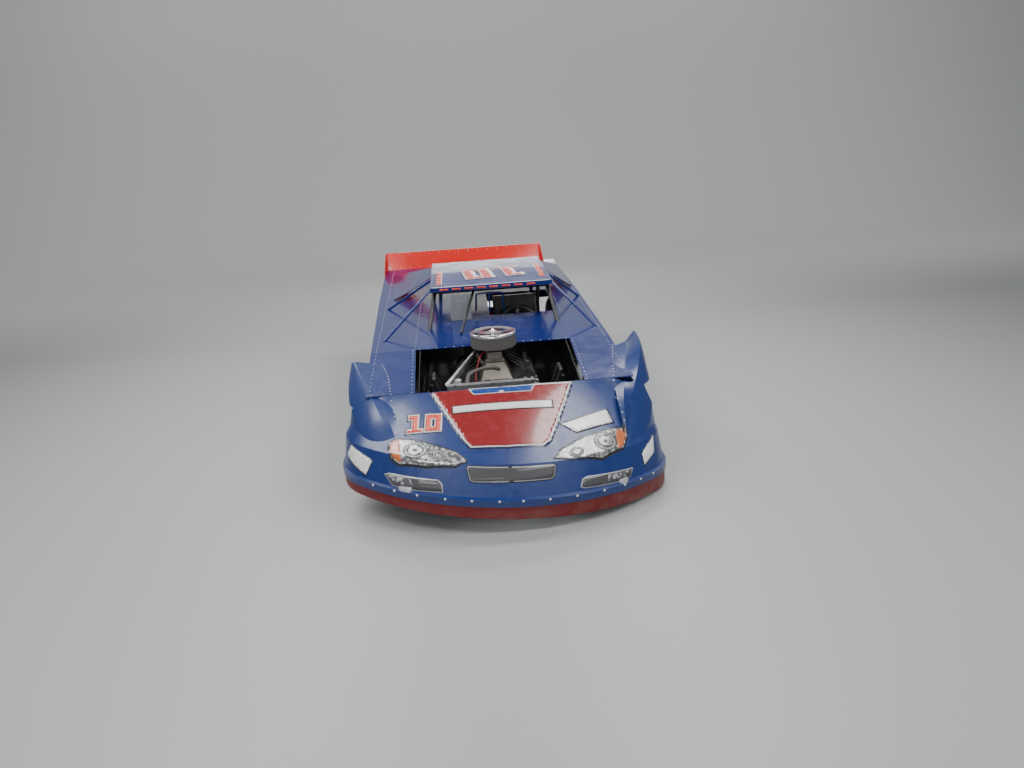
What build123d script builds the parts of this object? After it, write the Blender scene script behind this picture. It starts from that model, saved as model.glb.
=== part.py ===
from build123d import *
import math
import os

# Dirt-track late-model stock car, hood off, standing on its wheels.
# Millimetres. +X is the car's left, +Y its rear, +Z up. The origin is on the ground
# under the middle of the overall length. A station s is a distance behind the nose tip.

os.makedirs("parts", exist_ok=True)

# Main sizes
tail_s = 5130.0
spoiler_reach = 110.0
wheelbase = 2616.0
front_axle_s = 1290.0
sheet = 6.0
panel_gap = 0.6
seat_gap = 0.3

# Deck line, as heights at stations
crease_s = 161.0
crease_z = 420.0
brow_z = crease_z + 10.0
hood_front_s = 880.0
hood_front_z = 728.0
hood_rear_s = 1763.0
hood_rear_z = 822.0
tail_z = 980.0

# Nose: the whole moulding leans, its car's left end lower than its right
nose_lean = 3.68
nose_half = 1143.0
shoulder_half = 790.0
shoulder_corner_r = 190.0
lip_z = 195.0
lip_corner_r = 430.0
lip_corner_s = 720.0
crease_half = 1128.0
crease_corner_r = 420.0
crease_corner_s = 860.0
flange_height = 48.0
flange_step = 10.0
flange_tail = 0.0
middle_s = (tail_s + spoiler_reach - flange_step) / 2
valance_drop = 88.0
valance_lean = 4.7
valance_t = 8.0

# Body sides: station, right edge and left edge of the sheets at the height of the hood's rear edge
body_plan = [
    (0.0, -930.0, 975.0),
    (1790.0, -1000.0, 962.0),
    (3480.0, -1070.0, 956.0),
    (tail_s, -1120.0, 920.0),
]
body_lean_out = 30.0
body_bottom_z = 130.0
door_front_s = 1900.0
door_rear_clear = 36.0
hood_front_half = 612.0
hood_rear_half = 634.0
rear_deck_s = 3700.0
cage_leg_s = 2330.0
cockpit_front_s = 2690.0
cockpit_rear_s = 3560.0
cockpit_right_x = 20.0
cockpit_left_x = 640.0

# Roof and rear
roof_front_s = 2523.0
roof_rear_s = 3831.0
roof_front_z = 1182.0
roof_rear_z = 1212.0
roof_half = 552.0
roof_x = 46.0
roof_edge = 38.0
spoiler_height = 190.0
spoiler_half = 935.0
spoiler_x = -168.0
sail_front_s = 3640.0
sail_roof_s = 3460.0

# Wheels
front_tyre_r = 364.0
rear_tyre_r = 372.0
front_track_half = 860.0
rear_track_half = 850.0
tread_half = 140.0
tyre_half = 165.0
bead_r = 190.5
rim_half = 176.0
front_arch_r = 470.0
rear_arch_r = 440.0
door_rear_s = front_axle_s + wheelbase - rear_arch_r - door_rear_clear
spindle_r = 20.0
axle_r = 30.0
running_gap = 0.05

# Steering
kingpin_x = 740.0
steer_arm = 115.0
lower_ball_z = 238.0
upper_ball_z = 488.0

# Chassis
rail_x = 430.0
rail_z = 170.0
rail_w = 50.0
rail_h = 100.0
tube_d = 38.0
hoop_s = 3420.0
cage_x = 530.0
cage_top_z = 1140.0
cage_clear = 3.0
cage_leg_x = 620.0
hoop_knee_z = 800.0
brace_foot_s = 2120.0
brace_lift = 10.0

# Engine
engine_s = 1655.0
air_cleaner_r = 178.0
air_cleaner_z = 838.0
air_cleaner_h = 100.0

far = 4000.0
elbow_swell = 1.04


def y_at(s):
    return s - middle_s


def deck_z(s):
    line = [(crease_s, brow_z), (hood_front_s, hood_front_z), (hood_rear_s, hood_rear_z), (tail_s, tail_z)]
    for (s0, z0), (s1, z1) in zip(line, line[1:]):
        if s <= s1 or s1 == tail_s:
            return z0 + (z1 - z0) * (s - s0) / (s1 - s0)


def block(x0, x1, s0, s1, z0, z1):
    return Pos((x0 + x1) / 2, y_at((s0 + s1) / 2), (z0 + z1) / 2) * Box(x1 - x0, s1 - s0, z1 - z0)


def side_prism(points, x0, x1):
    """Extrude an outline of (station, height) points across the car."""
    face = make_face(Polyline(*[(x0, y_at(s), z) for s, z in points], close=True))
    return extrude(face, amount=x1 - x0, dir=(1, 0, 0))


def plan_prism(points, z0, z1):
    """Extrude an outline of (x, station) points upwards."""
    face = make_face(Polyline(*[(x, y_at(s), z0) for x, s in points], close=True))
    return extrude(face, amount=z1 - z0, dir=(0, 0, 1))


def front_prism(points, s0, s1):
    """Extrude an outline of (x, height) points along the car."""
    face = make_face(Polyline(*[(x, y_at(s0), z) for x, z in points], close=True))
    return extrude(face, amount=s1 - s0, dir=(0, 1, 0))


def rod(a, b, d):
    """A round bar between two (x, station, height) points."""
    p = Vector(a[0], y_at(a[1]), a[2])
    q = Vector(b[0], y_at(b[1]), b[2])
    return Part() + Solid.make_cylinder(d / 2, (q - p).length, Plane(origin=p, z_dir=q - p))


def run(points, d):
    """Bars joined end to end, with round elbows."""
    bars = [rod(a, b, d) for a, b in zip(points, points[1:])]
    elbows = [Pos(x, y_at(s), z) * Sphere(d / 2 * elbow_swell) for x, s, z in points[1:-1]]
    return fuse(bars + elbows)


def fuse(pieces):
    whole = pieces[0]
    return whole.fuse(*pieces[1:]) if len(pieces) > 1 else whole


def both(piece):
    """A piece and its mirror image across the car's middle."""
    return [piece, mirror(piece, about=Plane.YZ)]


def only(shape):
    return Compound(children=list(shape.solids())) if len(shape.solids()) > 1 else shape.solids()[0]


def save(name, shape):
    export_step(only(shape), f"parts/{name}.step")


# Surfaces that the panels share


def below_deck(drop):
    """Everything under the deck line from the hood's front edge to the tail, lowered by a drop."""
    line = [(hood_front_s, hood_front_z), (hood_rear_s, hood_rear_z), (tail_s, tail_z)]
    outline = [(s, z - drop) for s, z in line]
    return side_prism([(hood_front_s, -far)] + outline + [(tail_s, -far)], -far / 2, far / 2)


def body_edge(s, side):
    """Where the sheets' edge lies at a station, on the right (-1) or the left (1)."""
    column = 1 if side < 0 else 2
    for row, following in zip(body_plan, body_plan[1:]):
        if s <= following[0] or following is body_plan[-1]:
            share = (s - row[0]) / (following[0] - row[0])
            return row[column] + share * (following[column] - row[column])


def side_x(z, s, side):
    """How far out the leaning body side is at a height and a station."""
    return body_edge(s, side) + side * body_lean_out * (hood_rear_z - z) / (hood_rear_z - body_bottom_z)


def body_tube(inset):
    """The space between the two leaning body sides."""
    rings = []
    for z in (body_bottom_z, tail_z + 200):
        right = [(side_x(z, row[0], -1) + inset, row[0]) for row in body_plan]
        left = [(side_x(z, row[0], 1) - inset, row[0]) for row in reversed(body_plan)]
        rings.append(Wire(Polyline(*[(x, y_at(s), z) for x, s in right + left], close=True).edges()))
    return Part() + Solid.make_loft(rings, ruled=True)


def leaning(shape, z):
    """Put a shape drawn at height zero into the nose's leaning plane at a height."""
    return Pos(0, 0, z) * Rot(0, nose_lean, 0) * shape


def nose_line_z(z, x):
    """Height of the nose's leaning plane at a distance across the car."""
    return z - x * math.tan(math.radians(nose_lean))


def ring(half, corner_r, corner_s, touch, bow, tip_s, z, rear_s):
    """A closed outline in plan: a front line bowed forward, two corner arcs, straight sides and a rear line."""
    turn = math.atan2(corner_s - touch[1], touch[0] - half + corner_r) / 2
    middle = (half - corner_r + corner_r * math.cos(turn), corner_s - corner_r * math.sin(turn))

    def at(point, side=1):
        return (side * point[0], y_at(point[1]), z)

    front = ThreePointArc(at(touch), at((0, tip_s)), at(touch, -1)) if bow else Line(at(touch), at(touch, -1))
    edges = [
        Line(at((half, rear_s)), at((half, corner_s))),
        ThreePointArc(at((half, corner_s)), at(middle), at(touch)),
        front,
        ThreePointArc(at(touch, -1), at(middle, -1), at((half, corner_s), -1)),
        Line(at((half, corner_s), -1), at((half, rear_s), -1)),
        Line(at((half, rear_s), -1), at((half, rear_s))),
    ]
    return Wire(edges)


def nose_outline(half, corner_r, corner_s, tip_s, z, rear_s):
    """The nose in plan: a wide front arc that runs smoothly into two corner arcs."""
    gap = corner_s - tip_s
    across = half - corner_r
    front_r = (across**2 + gap**2 - corner_r**2) / (2 * (gap - corner_r))
    reach = math.hypot(across, front_r - gap)
    touch = (front_r * across / reach, tip_s + front_r + front_r * (gap - front_r) / reach)
    return ring(half, corner_r, corner_s, touch, True, tip_s, z, rear_s)


def shoulder_outline(inset, z, rear_s):
    """The nose's upper edge in plan: straight along the hood opening, rounded at its two ends."""
    half = shoulder_half + shoulder_corner_r - inset
    corner_r = shoulder_corner_r - inset
    front_s = hood_front_s + inset
    return ring(half, corner_r, front_s + corner_r, (half - corner_r, front_s), False, front_s, z, rear_s)


def nose_block(inset):
    """The nose's outer form, or its hollow when inset: lip to crease, then crease to the hood's front edge."""
    rear = front_axle_s
    lip = leaning(nose_outline(nose_half - inset, lip_corner_r - inset, lip_corner_s, inset, 0, rear), lip_z)
    crease_args = (crease_half - inset, crease_corner_r - inset, crease_corner_s, crease_s + inset)
    crease = leaning(nose_outline(*crease_args, 0, rear), crease_z - inset)
    shoulder = shoulder_outline(inset, hood_front_z - inset, rear)
    lower = Solid.make_loft([lip, crease], ruled=True)
    upper = Solid.make_loft([crease, shoulder], ruled=True)
    return Part() + lower + upper


# Nose mouldings, left and right, bolted together down the middle


def wheel_well(radius, s, z, inner_x, top=far):
    """The room kept free round a front or rear wheel on both sides."""
    drum = Pos(inner_x, y_at(s), z) * Rot(0, 90, 0) * Cylinder(
        radius, far, align=(Align.CENTER, Align.CENTER, Align.MIN)
    )
    drum = drum & block(0, far, 0, tail_s, -far, top)
    return fuse(both(drum))


nose_inner_reach = 560.0
flare_arch_top = 645.0


def flare_section(row, side, inset, extra):
    """One cut across a flare: foot wall, fold, crest, bulged shoulder and a side that runs down to the nose's crease."""
    s, foot, fold, crest, shoulder, side_out = row
    side_z = nose_line_z(crease_z, side * side_out) - flare_tuck - extra
    low_x = foot[0] + inset
    points = [(low_x, side_z), (low_x, foot[1] - inset), (fold[0], fold[1] - inset), (crest[0], crest[1] - inset),
              (shoulder[0] - inset, shoulder[1] - inset), (side_out - inset, side_z)]
    bulge_x = (crest[0] + shoulder[0] - inset) / 2 + flare_bulge
    bulge_z = (crest[1] + shoulder[1]) / 2 - inset + flare_bulge

    def at(x, z):
        return (side * x, y_at(s), z)

    edges = [Line(at(*a), at(*b)) for a, b in zip(points[:3], points[1:4])]
    edges.append(ThreePointArc(at(*points[3]), at(bulge_x, bulge_z), at(*points[4])))
    edges += [Line(at(*points[4]), at(*points[5])), Line(at(*points[5]), at(*points[0]))]
    return Wire(edges)


nose_rear_gap = 3.0
flare_tuck = 20.0
flare_bulge = 6.0
# station, (x, height) of the foot, the fold, the crest and the shoulder, and x of the side at the nose's crease
flare_tables = {
    -1: [
        (480, (700, 464), (738, 500), (752, 496), (868, 466), 900),
        (820, (733, 664), (836, 693), (903, 698), (1054, 606), 1116),
        (1160, (797, 752), (914, 766), (1008, 779), (1122, 698), 1127),
        (1500, (871, 788), (992, 812), (1100, 832), (1130, 800), 1127),
    ],
    1: [
        (480, (828, 400), (836, 398), (846, 395), (880, 358), 905),
        (820, (822, 668), (886, 670), (958, 646), (1090, 510), 1118),
        (1160, (855, 754), (970, 774), (1084, 826), (1132, 716), 1127),
        (1500, (929, 789), (1043, 826), (1108, 908), (1134, 874), 1127),
    ],
}
side_names = {"left": 1, "right": -1}


def flare_block(side, inset, extra=0.0):
    rows = flare_tables[side_names[side]]
    rows = rows[:-1] + [(rows[-1][0] + (1 if inset else 0), *rows[-1][1:])]
    sections = [flare_section(row, side_names[side], inset, extra) for row in rows]
    return Part() + Solid.make_loft(sections)


well = wheel_well(front_arch_r, front_axle_s, front_tyre_r, nose_inner_reach)
low_well = wheel_well(front_arch_r, front_axle_s, front_tyre_r, nose_inner_reach, flare_arch_top)
nose_outer = nose_block(0)
nose_hollow = nose_block(sheet)
flares = {side: flare_block(side, 0) for side in ("left", "right")}

nose_rear_plane = block(-far, far, hood_front_s - nose_rear_gap, far, -far, far)
nose = nose_outer - nose_hollow - nose_rear_plane - well - flares["left"] - flares["right"]
flange_args = (nose_half + flange_step, lip_corner_r + flange_step, lip_corner_s, -flange_step)
flange_rear = front_axle_s - front_arch_r + flange_tail
flange = Face(leaning(nose_outline(*flange_args, 0, flange_rear), lip_z))
flange = extrude(flange, amount=flange_height, dir=(0, 0, 1)) - nose_outer
nose = nose + flange
save("nose_left", nose & block(panel_gap / 2, far, -far, far, -far, far))
save("nose_right", nose & block(-far, -panel_gap / 2, -far, far, -far, far))


def valance_column(inset):
    """The nose's outline at the lip, drawn straight up from the ground."""
    rear = front_axle_s - front_arch_r + (1 if inset else 0)
    args = (nose_half - inset, lip_corner_r - inset, lip_corner_s, inset, 0, rear)
    return extrude(Face(nose_outline(*args)), amount=2 * lip_z, dir=(0, 0, 1))


# Red rubber valance strip under the lip: shallow at the car's right end, deep at its left
valance = valance_column(0) - valance_column(valance_t)
above_lip = leaning(block(-far, far, -far, far, 0, far), lip_z - seat_gap)
below_edge = Pos(0, 0, lip_z - valance_drop) * Rot(0, valance_lean, 0) * block(-far, far, -far, far, -far, 0)
save("nose_valance", valance - above_lip - below_edge)

# Tall front flares
flare_room = below_deck(sheet + 24) & body_tube(0) & block(-far, far, front_axle_s - front_arch_r, 1700, 0, far)
for side in ("left", "right"):
    shell = flares[side] - flare_block(side, sheet, 60)
    shell = shell - nose_outer.fuse(low_well) - flare_room
    save(f"flare_{side}", sorted(shell.solids(), key=lambda p: p.volume)[-1])

# Body sheets: deck and leaning sides
deck_sheet = (below_deck(0) - below_deck(sheet)) & body_tube(0)
side_sheet = (body_tube(0) - body_tube(sheet)) & below_deck(sheet)
hood_opening = plan_prism(
    [
        (-hood_front_half, hood_front_s - 1),
        (hood_front_half, hood_front_s - 1),
        (hood_rear_half, hood_rear_s),
        (-hood_rear_half, hood_rear_s),
    ],
    0,
    far,
)
rear_well = wheel_well(rear_arch_r, front_axle_s + wheelbase, rear_tyre_r, rear_track_half - tyre_half + 100)
rear_well = rear_well & block(-far, far, 0, tail_s, -far, deck_z(front_axle_s + wheelbase) - 60)


def span(shape, x0, x1, s0, s1):
    g = panel_gap / 2
    return shape & block(x0, x1, s0 + g, s1 - g, 0, far / 2)


sides = {"left": (0.0, far / 2), "right": (-far / 2, 0.0)}
for side, (x0, x1) in sides.items():
    top = span(deck_sheet, x0, x1, hood_front_s, hood_rear_s) - hood_opening
    wall = span(side_sheet, x0, x1, front_axle_s, door_front_s) - well
    fender = (top + wall) - flares[side]
    pieces = sorted(fender.solids(), key=lambda p: p.volume)
    save(f"fender_{side}", Part() + pieces[-1] + [p for p in pieces[:-1] if p.volume > 2e5])
    save(f"door_{side}", span(side_sheet, x0, x1, door_front_s, door_rear_s))
    save(f"quarter_{side}", span(side_sheet, x0, x1, door_rear_s, tail_s) - rear_well)

# Roll cage, built once at any bar size so that the sheets can be cleared round it


def cage(d):
    """The cage follows the roof, a little to the car's left; below the deck it sits square on the frame."""
    foot_x = cage_x + 20
    top_x = cage_x - 15
    leg_s = cage_leg_s - 40
    leg_z = deck_z(cage_leg_s) - 75
    bar_front_s = roof_front_s + 110
    bar_front_z = cage_top_z - 12
    pieces = []
    for side in (-1, 1):
        leg_x = cage_leg_x if side > 0 else foot_x
        hoop_top = (roof_x + side * top_x, hoop_s, cage_top_z)
        front_top = (roof_x + side * top_x, bar_front_s, bar_front_z)
        hoop = [(side * foot_x, hoop_s, rail_z), (side * (foot_x - 12), hoop_s, hoop_knee_z), hoop_top]
        leg = [front_top, (side * leg_x, leg_s, leg_z), (side * foot_x, leg_s, rail_z)]
        pieces.append(run(hoop + leg, d))
        stay_top = (roof_x + side * (top_x - 2), hoop_s + 5, cage_top_z - 4)
        pieces.append(rod(stay_top, (side * (rail_x - 30), 4450, 520), d))
        for height in (330, 470, 610):
            share = (height - rail_z) / (leg_z - rail_z)
            leg_here = foot_x + share * (leg_x - foot_x)
            pieces.append(rod((side * (foot_x - 4), hoop_s, height), (side * leg_here, leg_s, height), d))
    pieces += [
        rod((roof_x - top_x, hoop_s, cage_top_z), (roof_x + top_x, hoop_s, cage_top_z), d),
        rod((roof_x - top_x, bar_front_s, bar_front_z), (roof_x + top_x, bar_front_s, bar_front_z), d),
        rod((-foot_x, leg_s, leg_z), (cage_leg_x, leg_s, leg_z), d),
        rod((-foot_x, hoop_s, 640), (foot_x, hoop_s, 640), d),
        rod((-110, bar_front_s, bar_front_z), (-255, brace_foot_s, deck_z(brace_foot_s) + brace_lift), d * 0.6),
    ]
    return fuse(pieces)


save("roll_cage", cage(tube_d))
cage_room = cage(tube_d + 2 * cage_clear)

# Decks behind the hood opening
cockpit = block(cockpit_right_x, cockpit_left_x, cockpit_front_s, cockpit_rear_s, 0, far)
interior = span(deck_sheet, -far / 2, far / 2, hood_rear_s, rear_deck_s) - cockpit - cage_room
interior = interior - flares["left"] - flares["right"]
save("interior_deck", sorted(interior.solids(), key=lambda p: p.volume)[-1])
rear_deck = span(deck_sheet, -far / 2, far / 2, rear_deck_s, tail_s) - cage_room
save("rear_deck", sorted(rear_deck.solids(), key=lambda p: p.volume)[-1])
tail_bottom_z = 520.0
tail_panel = body_tube(sheet) & below_deck(sheet) & block(-far, far, tail_s - sheet, tail_s, tail_bottom_z, far)
tail_window = block(-620, 620, tail_s - 2 * sheet, tail_s + sheet, tail_bottom_z + 90, tail_z - 160)
save("tail_panel", tail_panel - tail_window)

# Roof: a shallow pan with turned-down edges
roof_crown = 10.0


def roof_block(inset):
    half = roof_half - inset
    profile = [
        (roof_front_s + inset, roof_front_z - roof_edge - 10 * inset),
        (roof_front_s + inset, roof_front_z - inset),
        ((roof_front_s + roof_rear_s) / 2, (roof_front_z + roof_rear_z) / 2 + roof_crown - inset),
        (roof_rear_s - inset, roof_rear_z - inset),
        (roof_rear_s - inset, roof_rear_z - roof_edge - 10 * inset),
    ]
    return side_prism(profile, roof_x - half, roof_x + half)


save("roof", roof_block(0) - roof_block(sheet))

# Sail panels from the roof's rear corners down to the deck edges
sail_rear_s = 4785.0
# side sign: station and x of the front foot, x of the rear foot
sail_feet = {1: (3640.0, 925.0, 915.0), -1: (3584.0, -925.0, -1000.0)}


def sail(side):
    front_s, front_x, rear_x = sail_feet[side]
    front_foot = Vector(front_x, y_at(front_s), deck_z(front_s))
    rear_foot = Vector(rear_x, y_at(sail_rear_s), deck_z(sail_rear_s))
    roof_corner = Vector(roof_x + side * roof_half, y_at(roof_rear_s - 20), roof_rear_z - roof_edge)
    normal = (rear_foot - front_foot).cross(roof_corner - front_foot)
    plane = Plane(origin=front_foot, x_dir=rear_foot - front_foot, z_dir=normal)
    b = plane.to_local_coords(rear_foot)
    c = plane.to_local_coords(roof_corner)
    top = (c.X - (roof_rear_s - sail_roof_s), c.Y - 12)
    bow = (top[0] / 2 - 70, top[1] / 2 + 60)
    edges = [Line((0, 0), (b.X, b.Y)), Line((b.X, b.Y), (c.X, c.Y)), Line((c.X, c.Y), top), ThreePointArc(top, bow, (0, 0))]
    panel = extrude(plane * make_face(Wire(edges)), amount=sheet / 2, both=True) - below_deck(0) - roof_block(0)
    return sorted(panel.solids(), key=lambda p: p.volume)[-1]


save("sail_left", sail(1))
save("sail_right", sail(-1))

# Thin posts that hold the roof's front and sides: side sign, foot x and station, top offset in x, top station
post_d = 22.0
post_table = [
    (1, 905.0, 2069.0, 20.0, roof_front_s + 40),
    (1, 925.0, 3180.0, 8.0, 3020.0),
    (-1, -914.0, 2069.0, 20.0, roof_front_s + 40),
    (-1, -956.0, 3180.0, 8.0, 3020.0),
]
posts = []
for side, foot_x, foot_s, top_in, top_s in post_table:
    head = (roof_x + side * (roof_half - top_in), top_s, roof_front_z - 3)
    post = rod(head, (foot_x, foot_s, deck_z(foot_s) - 3), post_d) - below_deck(0) - roof_block(0)
    posts.append(sorted(post.solids(), key=lambda p: p.volume)[-1])
save("window_posts", Compound(children=posts))

# Spoiler blade with its side plates
spoiler_blade = side_prism(
    [
        (tail_s - sheet, tail_z),
        (tail_s, tail_z),
        (tail_s + spoiler_reach, tail_z + spoiler_height),
        (tail_s + spoiler_reach - sheet, tail_z + spoiler_height),
    ],
    -spoiler_half,
    spoiler_half,
)
end_plate = side_prism(
    [
        (tail_s - 330, deck_z(tail_s - 330)),
        (tail_s, tail_z),
        (tail_s + spoiler_reach, tail_z + spoiler_height),
        (tail_s + spoiler_reach - 70, tail_z + spoiler_height),
        (tail_s - 330, deck_z(tail_s - 330) + 45),
    ],
    spoiler_half - sheet,
    spoiler_half,
)
save("spoiler", Pos(spoiler_x, 0, 0) * fuse([spoiler_blade] + both(end_plate)))

# Frame: two rails, front and rear clips, bumpers and outriggers
rail_front_s = 2050.0
rail_rear_s = 3560.0


def rail_run(side):
    x = side * rail_x
    front = run([(x, rail_front_s, rail_z), (side * 340, 1720, rail_z + 20), (side * 330, 620, rail_z + 40)], 50)
    rear = run([(x, rail_rear_s, rail_z), (side * 400, 3640, 560), (side * 380, 4300, 590), (side * 380, 4980, 480)], 45)
    x0, x1 = sorted((x, x - side * rail_w))
    main = block(x0, x1, rail_front_s, rail_rear_s, rail_z - rail_h / 2, rail_z + rail_h / 2)
    return {"front": front, "rear": rear, "main": main}


rails = [rail_run(1), rail_run(-1)]
front_bars = [
    rod((-330, 640, rail_z + 40), (330, 640, rail_z + 40), 45),
    rod((-335, 1375, rail_z + 30), (335, 1375, rail_z + 30), 45),
]
main_bars = [
    rod((-rail_x, rail_front_s + 30, rail_z), (rail_x, rail_front_s + 30, rail_z), 45),
    rod((-rail_x, rail_rear_s - 40, rail_z), (rail_x, rail_rear_s - 40, rail_z), 45),
]
rear_bars = [
    rod((-380, 4300, 590), (380, 4300, 590), 45),
    rod((-380, 4980, 480), (380, 4980, 480), 45),
]
outrigger_d = 32.0
for s in (2290, hoop_s - 50):
    for sign in (-1, 1):
        reach = side_x(rail_z + outrigger_d / 2, s - outrigger_d, sign) - sign * (sheet + 2)
        main_bars.append(rod((sign * (rail_x - 10), s, rail_z), (reach, s, rail_z), outrigger_d))
front_bumper = run([(-330, 620, 210), (-300, 330, 330), (300, 330, 330), (330, 620, 210)], 38)
rear_bumper = run([(-380, 4980, 480), (-560, tail_s - 30, 480), (560, tail_s - 30, 480), (380, 4980, 480)], 38)
rack_s = front_axle_s - steer_arm
rack_z = 306.0
rack_d = 22.0
housing_half = 190.0
upper_pivot_x = 440.0
pivot_bar_d = 30.0
tower_d = 32.0
tower_lean = math.cos(math.atan2(45.0, 200.0))
tower_x = upper_pivot_x - (pivot_bar_d / 2 + tower_d / 2 * elbow_swell + seat_gap) / tower_lean
coil_head_x = 485.0
coil_head_z = 700.0
tower_half = 78.0
shock_bar_z = 760.0
rear_shock_s = front_axle_s + wheelbase + 90
cell_box = (-330.0, 330.0, 4420.0, 4880.0, 300.0, 560.0)
radiator_foot_z = 360.0
radiator_s = 1090.0


def front_tower(side):
    """Tubes that carry the upper arm's pivot and the top of the coil-over."""
    foot = (side * 338, rail_z + 30)
    knee = (side * tower_x, 500)
    head = (side * coil_head_x, coil_head_z + tower_d / 2 + seat_gap)
    near = front_axle_s - tower_half
    rear = front_axle_s + tower_half
    return run([(foot[0], near, foot[1]), (knee[0], near, knee[1]), (head[0], near, head[1]), (head[0], rear, head[1]),
                (knee[0], rear, knee[1]), (foot[0], rear, foot[1])], tower_d)


def rack_housing():
    tube_out = rod((-housing_half, rack_s, rack_z), (housing_half, rack_s, rack_z), 50)
    legs = [block(x - 15, x + 15, rack_s - 12, rack_s + 12, rail_z + 30, rack_z) for x in (-150, 150)]
    bore = rod((-housing_half - 1, rack_s, rack_z), (housing_half + 1, rack_s, rack_z), rack_d + 2 * running_gap)
    bar = rod((-334, rack_s, rail_z + 33), (334, rack_s, rail_z + 33), 40)
    return fuse([tube_out, bar] + legs) - bore


def cell_strap(s):
    x0, x1, s0, s1, z0, z1 = cell_box
    wide = x1 + 6
    loop = block(-wide, wide, s, s + 40, z0 - 6, z1 + 12) - block(
        x0 - seat_gap, x1 + seat_gap, s - 1, s + 41, z0 - seat_gap, z1 + 14)
    ears = [block(min(a, b), max(a, b), s, s + 40, z1 - 6, z1) for a, b in ((wide - 3, 385), (3 - wide, -385))]
    return fuse([loop] + ears)


front_supports = [rack_housing(), front_tower(1), front_tower(-1)]
front_supports.append(rod((-334, radiator_s, rail_z + 35), (334, radiator_s, rail_z + 35), 32))
for x in (-300, 200):
    front_supports.append(block(x - 15, x + 15, radiator_s - 12, radiator_s + 12, rail_z + 35, radiator_foot_z))
rear_supports = [cell_strap(4500), cell_strap(4760)]
rear_supports.append(rod((-440, rear_shock_s, shock_bar_z), (440, rear_shock_s, shock_bar_z), tube_d))
for side in (-1, 1):
    rear_supports.append(rod((side * 390, rear_shock_s, 575), (side * 390, rear_shock_s, shock_bar_z), tube_d))
tow_plate_t = 12.0
tow_plate_half = 28.0
tow_hole_r = 13.0
tow_reach = 60.0
tow_rear_s = tail_s + 22
tow_rear_z = 480.0
tow_front_s = 268.0
tow_front_z = 330.0


def tow_eye(s, z, reach, lie_flat):
    """A plate on a bumper tube with a round hole for a tow hook: upright at the rear, flat under the nose."""
    low, high = sorted((0, reach))
    plate = Pos(0, (low + high) / 2, 0) * Box(2 * tow_plate_half, high - low, tow_plate_t)
    plate = plate + Cylinder(tow_plate_half, tow_plate_t) - Cylinder(tow_hole_r, 4 * tow_plate_t)
    turn = Rot(0, 0, 0) if lie_flat else Rot(0, 90, 0)
    return Pos(0, y_at(s), z) * turn * plate


tow_rear = tow_eye(tow_rear_s, tow_rear_z, -tow_reach, False)
tow_front = tow_eye(tow_front_s, tow_front_z, tow_reach, True)
cage_solid = cage(tube_d)
main_frame = fuse([r["main"] for r in rails] + main_bars)
front_frame = fuse([r["front"] for r in rails] + front_bars + front_supports + [front_bumper, tow_front]) - main_frame
rear_frame = fuse([r["rear"] for r in rails] + rear_bars + rear_supports + [rear_bumper, tow_rear]) - main_frame
main_frame = main_frame - cage_solid
rear_frame = rear_frame - cage_solid
save("frame", main_frame)
save("front_frame", front_frame)
save("rear_frame", rear_frame)

# Floor pan and engine bay panels
floor_half = rail_x - rail_w - seat_gap
floor_pan = block(-floor_half, floor_half, rail_front_s + 60, rail_rear_s - 70, 140, 140 + sheet)
save("floor_pan", floor_pan)
bay_top_x = 602.0
bay_foot_x = 562.0
bay_foot_z = 535.0
firewall_s = 1935.0
firewall_foot_z = 300.0


def bay_side(inset):
    points = [
        (-bay_foot_x + inset, bay_foot_z),
        (bay_foot_x - inset, bay_foot_z),
        (bay_top_x - inset, hood_rear_z),
        (-bay_top_x + inset, hood_rear_z),
    ]
    return front_prism(points, hood_front_s + 20, firewall_s)


bay_room = below_deck(sheet)
bay_sides = (bay_side(0) - bay_side(sheet)) & bay_room
firewall = bay_side(0) & bay_room
firewall = block(-600, 600, firewall_s, firewall_s + sheet, firewall_foot_z, far) & front_prism(
    [(-bay_foot_x, firewall_foot_z), (bay_foot_x, firewall_foot_z), (bay_top_x, hood_rear_z + 20), (-bay_top_x, hood_rear_z + 20)],
    firewall_s - 10, firewall_s + 50) & bay_room
bay_panels = fuse([bay_sides, firewall])
lightening = [
    Pos(-300, y_at(s), 640) * Rot(0, 90, 0) * Cylinder(48, 700, align=(Align.CENTER, Align.CENTER, Align.CENTER))
    for s in (1180, 1330, 1480)
]
save("bay_panels", bay_panels - fuse(lightening))

# Engine: block with heads and covers, intake and carburettor, air cleaner, headers
block_front_s = engine_s - 250
block_rear_s = engine_s + 210
crank_z = 330.0
engine = front_prism([(-90, 210), (90, 210), (150, crank_z), (205, 560), (95, 610), (-95, 610), (-205, 560),
                      (-150, crank_z)], block_front_s, block_rear_s)
head = Pos(215, y_at(engine_s), 590) * Rot(0, 45, 0) * Box(120, 440, 110)
cover = Pos(262, y_at(engine_s), 637) * Rot(0, 45, 0) * fillet((Box(95, 420, 70)).edges().filter_by(Axis.Y), 20)
damper = Pos(0, y_at(block_front_s), crank_z) * Rot(90, 0, 0) * Cylinder(
    90, 60, align=(Align.CENTER, Align.CENTER, Align.MIN))
bell = front_prism([(-120, 230), (120, 230), (180, 330), (120, 480), (-120, 480), (-180, 330)], block_rear_s,
                   block_rear_s + 60)
pump_pulley = Pos(0, y_at(block_front_s), 470) * Rot(90, 0, 0) * Cylinder(
    72, 56, align=(Align.CENTER, Align.CENTER, Align.MIN))
distributor = Pos(0, y_at(block_rear_s - 40), 600) * Cylinder(46, 110, align=(Align.CENTER, Align.CENTER, Align.MIN))
breathers = [Pos(253, y_at(s), 640) * Cylinder(20, 90, align=(Align.CENTER, Align.CENTER, Align.MIN))
             for s in (block_front_s + 90, block_rear_s - 90)]
engine = fuse([engine, damper, bell, pump_pulley, distributor] + both(head) + both(cover) + breathers)
save("engine_block", engine)
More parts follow.
